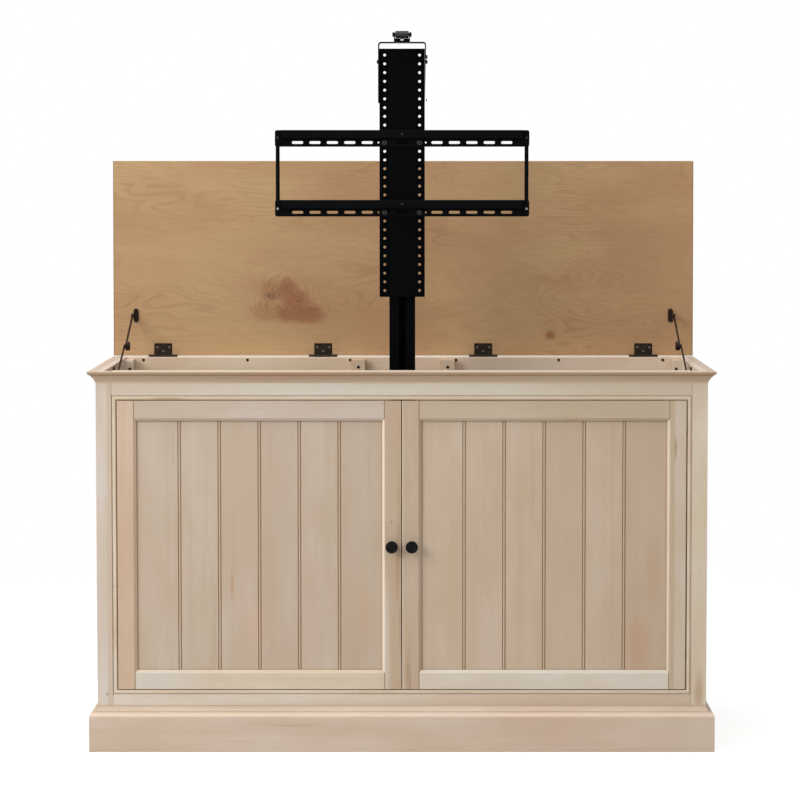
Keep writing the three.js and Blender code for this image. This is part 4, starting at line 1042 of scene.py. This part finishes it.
# Directions, and the rim's height
forward = Vector((0.0, -1.0, 0.0))
backward = Vector((0.0, 1.0, 0.0))
upward = Vector((0.0, 0.0, 1.0))
rightward = Vector((1.0, 0.0, 0.0))
rim_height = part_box("side_panel_left")[1].z

# Knobs of the doors
for side_name, side in SIDES:
    node = f"{side_name}_door_knob"
    low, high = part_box(node)
    foot = Vector(((low.x + high.x) / 2.0, high.y, (low.z + high.z) / 2.0))
    mesh = turned(KNOB_PROFILE, (high.x - low.x) / 2.0, high.y - low.y, steps=FINE_STEPS)
    stand_in(f"{side_name}_door_pull", stand(mesh, foot, forward), node, METAL["black_knob_metal"])

# Roller of the lid lifter
low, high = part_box("lid_roller")
middle = (low + high) / 2.0
mesh = turned(ROLLER_PROFILE, (high.z - low.z) / 2.0, (high.x - low.x) / 2.0, closed=True)
stand_in("lid_roller_wheel", stand(mesh, middle, rightward), "lid_roller", METAL["black_plastic_roller"])


def on_lid(across, along, rise):
    """A place on the lid, from the middle of its hinge axis: across, away from it, and above the board."""
    return Vector((0.0, lid_axis.y, lid_axis.z)) + lid_turn @ Vector((across, -along, rise))


# Round bosses on the stays' knuckles, and the screws of the stays' plates
for side_name, side in SIDES:
    inward = rightward * -side
    arm_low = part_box(f"stay_upper_arm_{side_name}")[0]
    knuckle = Vector((side * BOSS_START, arm_low.y + BOSS_RADIUS, arm_low.z + BOSS_RADIUS))
    boss = stand(turned(BOSS_PROFILE, BOSS_RADIUS, BOSS_LENGTH), knuckle, inward)
    body = f"stay_upper_{side_name}"
    dressed(f"stay_boss_{side_name}", boss, body, "dark_bronze", METAL["stay_bronze_metal"])
    low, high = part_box(f"stay_bracket_{side_name}")
    pivot_height = joint_named(f"stay_lower_{side_name}_pivot")["pos_m"][2]
    for index, offset in enumerate(STAY_BRACKET_SCREWS):
        spot = Vector((side * STAY_BRACKET_FACE, (low.y + high.y) / 2.0, pivot_height + offset))
        screw("stay_bracket_screw", f"stay_bracket_screw_{side_name}_{index + 1}", "cabinet", spot, inward)
    for index, offset in enumerate((-STAY_LID_SCREW_REACH, STAY_LID_SCREW_REACH)):
        spot = on_lid(side * STAY_LID_PLATE_ACROSS, STAY_LID_PLATE_ALONG + offset, -STAY_LID_PLATE_FACE)
        screw("stay_lid_screw", f"stay_lid_screw_{side_name}_{index + 1}", "lid", spot, -lid_normal)

# Screws of the back wall and the battens
wall_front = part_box("back_panel")[0].y
for side_name, side in SIDES:
    for index, across in enumerate(WALL_SCREW_PLACES):
        spot = Vector((side * across, wall_front, rim_height - WALL_SCREW_DROP))
        screw("wall_screw", f"wall_screw_{side_name}_{index + 1}", "cabinet", spot, forward, index)
    low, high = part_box(f"back_batten_{side_name}")
    spot = Vector(((low.x + high.x) / 2.0, low.y, rim_height - BATTEN_SCREW_DROP))
    screw("batten_screw", f"batten_screw_{side_name}", "cabinet", spot, forward)
    spot = Vector((side * SIDE_BATTEN_PLACE, high.y - SIDE_BATTEN_FRONT, rim_height - SIDE_BATTEN_DROP))
    screw("side_batten_screw", f"side_batten_screw_{side_name}", "cabinet", spot, forward)

# Lid hinges: three screws in the narrow leaf, two in the wide leaf
for number in range(1, LID_HINGES + 1):
    low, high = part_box(f"rim_hinge_leaf_{number}")
    middle = (low.x + high.x) / 2.0
    for index, across in enumerate((-RIM_SCREW_ACROSS, RIM_SCREW_ACROSS)):
        spot = Vector((middle + across, low.y + RIM_SCREW_INSET, rim_height))
        screw("rim_hinge_screw", f"rim_hinge_screw_{number}_{index + 1}", "cabinet", spot, upward, number)
    for index, (across, along) in enumerate(LEAF_SCREW_PLACES):
        spot = on_lid(middle + across, along, LEAF_FACE)
        screw("lid_hinge_screw", f"lid_hinge_screw_{number}_{index + 1}", "lid", spot, -lid_normal, index)

# Bolts that hold the television rails on the plate, and the screws of the bands and the tie bars
flange_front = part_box("carriage_plate")[0].y - GAP - SHEET
for level in ("upper", "lower"):
    low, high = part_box(f"{level}_rail")
    for side_name, side in SIDES:
        spot = Vector((side * BOLT_PLACE, flange_front, low.z + SLOT_ROW_RISE))
        washer = stand(turned(WASHER_PROFILE, WASHER_RADIUS, WASHER_RISE, closed=True), spot, forward)
        dressed(f"{level}_rail_washer_{side_name}", washer, "lift_carriage", "black_steel",
                METAL["black_steel_coat"])
        screw("rail_bolt", f"{level}_rail_bolt_{side_name}", "lift_carriage", spot, forward, side)
    spot = Vector((0.0, low.y, low.z + BAND_SCREW_RISE))
    screw("rail_middle_screw", f"{level}_rail_middle_screw", "lift_carriage", spot, forward)
for side_name, side in SIDES:
    low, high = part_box(f"tie_bar_{side_name}")
    heights = (low.z + TIE_SCREW_PLACE, high.z - TIE_SCREW_PLACE)
    for index, (level, height) in enumerate(zip(("low", "high"), heights)):
        spot = Vector(((low.x + high.x) / 2.0, low.y, height))
        name = f"tie_bar_screw_{side_name}_{index + 1}"
        screw(f"tie_bar_{level}_screw", name, "lift_carriage", spot, forward)

# Screws in the sides of the lid lifter's strap
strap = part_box("lid_lifter")[1]
for ending, side, drop, kind in STRAP_SCREWS:
    spot = Vector((side * strap.x, strap.y - STRAP_MIDDLE, strap.z - drop))
    screw(kind, f"strap_screw_{ending}", "lift_carriage", spot, rightward * side)

# Hinge cups in the doors, and the screws of the hinges' feet
door_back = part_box("left_door_outer_stile")[1].y
for side_name, side in SIDES:
    for level in ("lower", "upper"):
        low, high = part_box(f"door_hinge_{side_name}_{level}")
        middle = (low.z + high.z) / 2.0
        spot = Vector((side * CUP_PLACE, door_back - CUP_DEPTH - CUP_FLOOR, middle))
        cup = stand(turned(CUP_PROFILE, CUP_RADIUS, CUP_DEPTH), spot, backward)
        body = f"{side_name}_door"
        dressed(f"hinge_cup_{side_name}_{level}", cup, body, "black_steel", METAL["bolt_zinc"])
        face = max(abs(low.x), abs(high.x)) - HINGE_FOOT_THICKNESS
        for index, offset in enumerate((-HINGE_FOOT_SPREAD, HINGE_FOOT_SPREAD)):
            spot = Vector((side * face, high.y - HINGE_FOOT_INSET, middle + offset))
            name = f"hinge_foot_screw_{side_name}_{level}_{index + 1}"
            screw("hinge_foot_screw", name, "cabinet", spot, rightward * -side)

# Round motor behind the foot of the mast
floor_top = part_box("bottom_panel")[1].z
spot = Vector((0.0, MOTOR_PLACE, floor_top + MOTOR_LOW))
motor = stand(turned(MOTOR_PROFILE, MOTOR_RADIUS, MOTOR_HEIGHT, steps=FINE_STEPS), spot, upward)
dressed("lift_motor_shell", motor, "cabinet", "black_steel", METAL["black_mast_coat"])


# Floor, world and lamps
def background_rays(tree):
    """1 for the rays that show the background: from the camera, off metal and through glass."""
    path = tree.nodes.new("ShaderNodeLightPath")
    seen = path.outputs["Is Camera Ray"]
    for ray in ("Is Glossy Ray", "Is Transmission Ray"):
        either = tree.nodes.new("ShaderNodeMath")
        either.operation = "MAXIMUM"
        tree.links.new(seen, either.inputs[0])
        tree.links.new(path.outputs[ray], either.inputs[1])
        seen = either.outputs[0]
    return seen


def floor_paint():
    """Pale paint that keeps the shadow, a little lighter to those rays, and white to them further off."""
    nodes = Nodes("floor_paint")
    tree = nodes.tree
    nodes.finish(linear(*FLOOR_COLOUR), FLOOR_ROUGHNESS, FLOOR_SPECULAR)
    rays = background_rays(tree)
    far = nodes.ramp(nodes.vector("LENGTH", nodes.place), FLOOR_NEAR, FLOOR_FAR)
    lift = tree.nodes.new("ShaderNodeEmission")
    nodes.put(lift.inputs["Strength"], nodes.math("MULTIPLY", rays, FLOOR_LIFT))
    both = tree.nodes.new("ShaderNodeAddShader")
    tree.links.new(nodes.shader.outputs[0], both.inputs[0])
    tree.links.new(lift.outputs[0], both.inputs[1])
    white = tree.nodes.new("ShaderNodeEmission")
    white.inputs["Strength"].default_value = 1.0
    blend = tree.nodes.new("ShaderNodeMixShader")
    nodes.put(blend.inputs[0], nodes.math("MULTIPLY", far, rays))
    tree.links.new(both.outputs[0], blend.inputs[1])
    tree.links.new(white.outputs[0], blend.inputs[2])
    tree.links.new(blend.outputs[0], tree.nodes["Material Output"].inputs["Surface"])
    return nodes.material


floor_mesh = bpy.data.meshes.new("floor")
floor_mesh.from_pydata(
    [(-FLOOR_HALF, -FLOOR_HALF, 0.0), (FLOOR_HALF, -FLOOR_HALF, 0.0),
     (FLOOR_HALF, FLOOR_HALF, 0.0), (-FLOOR_HALF, FLOOR_HALF, 0.0)], [], [(0, 1, 2, 3)])
floor = link("floor", floor_mesh)
floor.data.materials.append(floor_paint())

world = bpy.data.worlds.new("studio")
bpy.context.scene.world = world
world.use_nodes = True
sky = world.node_tree
background = sky.nodes["Background"]
background.inputs["Color"].default_value = (1.0, 1.0, 1.0, 1.0)
strength = sky.nodes.new("ShaderNodeMapRange")
strength.inputs["To Min"].default_value = WORLD_LIGHT
strength.inputs["To Max"].default_value = 1.0
sky.links.new(background_rays(sky), strength.inputs["Value"])
sky.links.new(strength.outputs[0], background.inputs["Strength"])

for name, lamp in LAMPS.items():
    light = bpy.data.lights.new(name, "AREA")
    light.shape = "DISK"
    light.size = lamp["size"]
    light.energy = lamp["power"]
    holder = bpy.data.objects.new(name, light)
    holder.location = lamp["place"]
    holder.rotation_euler = (LAMP_TARGET - holder.location).to_track_quat("-Z", "Y").to_euler()
    bpy.context.scene.collection.objects.link(holder)

# Camera
lens = bpy.data.cameras.new("camera")
lens.lens = FOCAL
lens.sensor_width = SENSOR
lens.sensor_height = SENSOR
lens.sensor_fit = "HORIZONTAL"
lens.shift_x = SHIFT_X
lens.shift_y = SHIFT_Y
camera = bpy.data.objects.new("camera", lens)
camera.location = EYE
camera.rotation_euler = (math.pi / 2.0 - PITCH, 0.0, 0.0)
bpy.context.scene.collection.objects.link(camera)
bpy.context.scene.camera = camera
bpy.context.scene.view_settings.view_transform = "Standard"
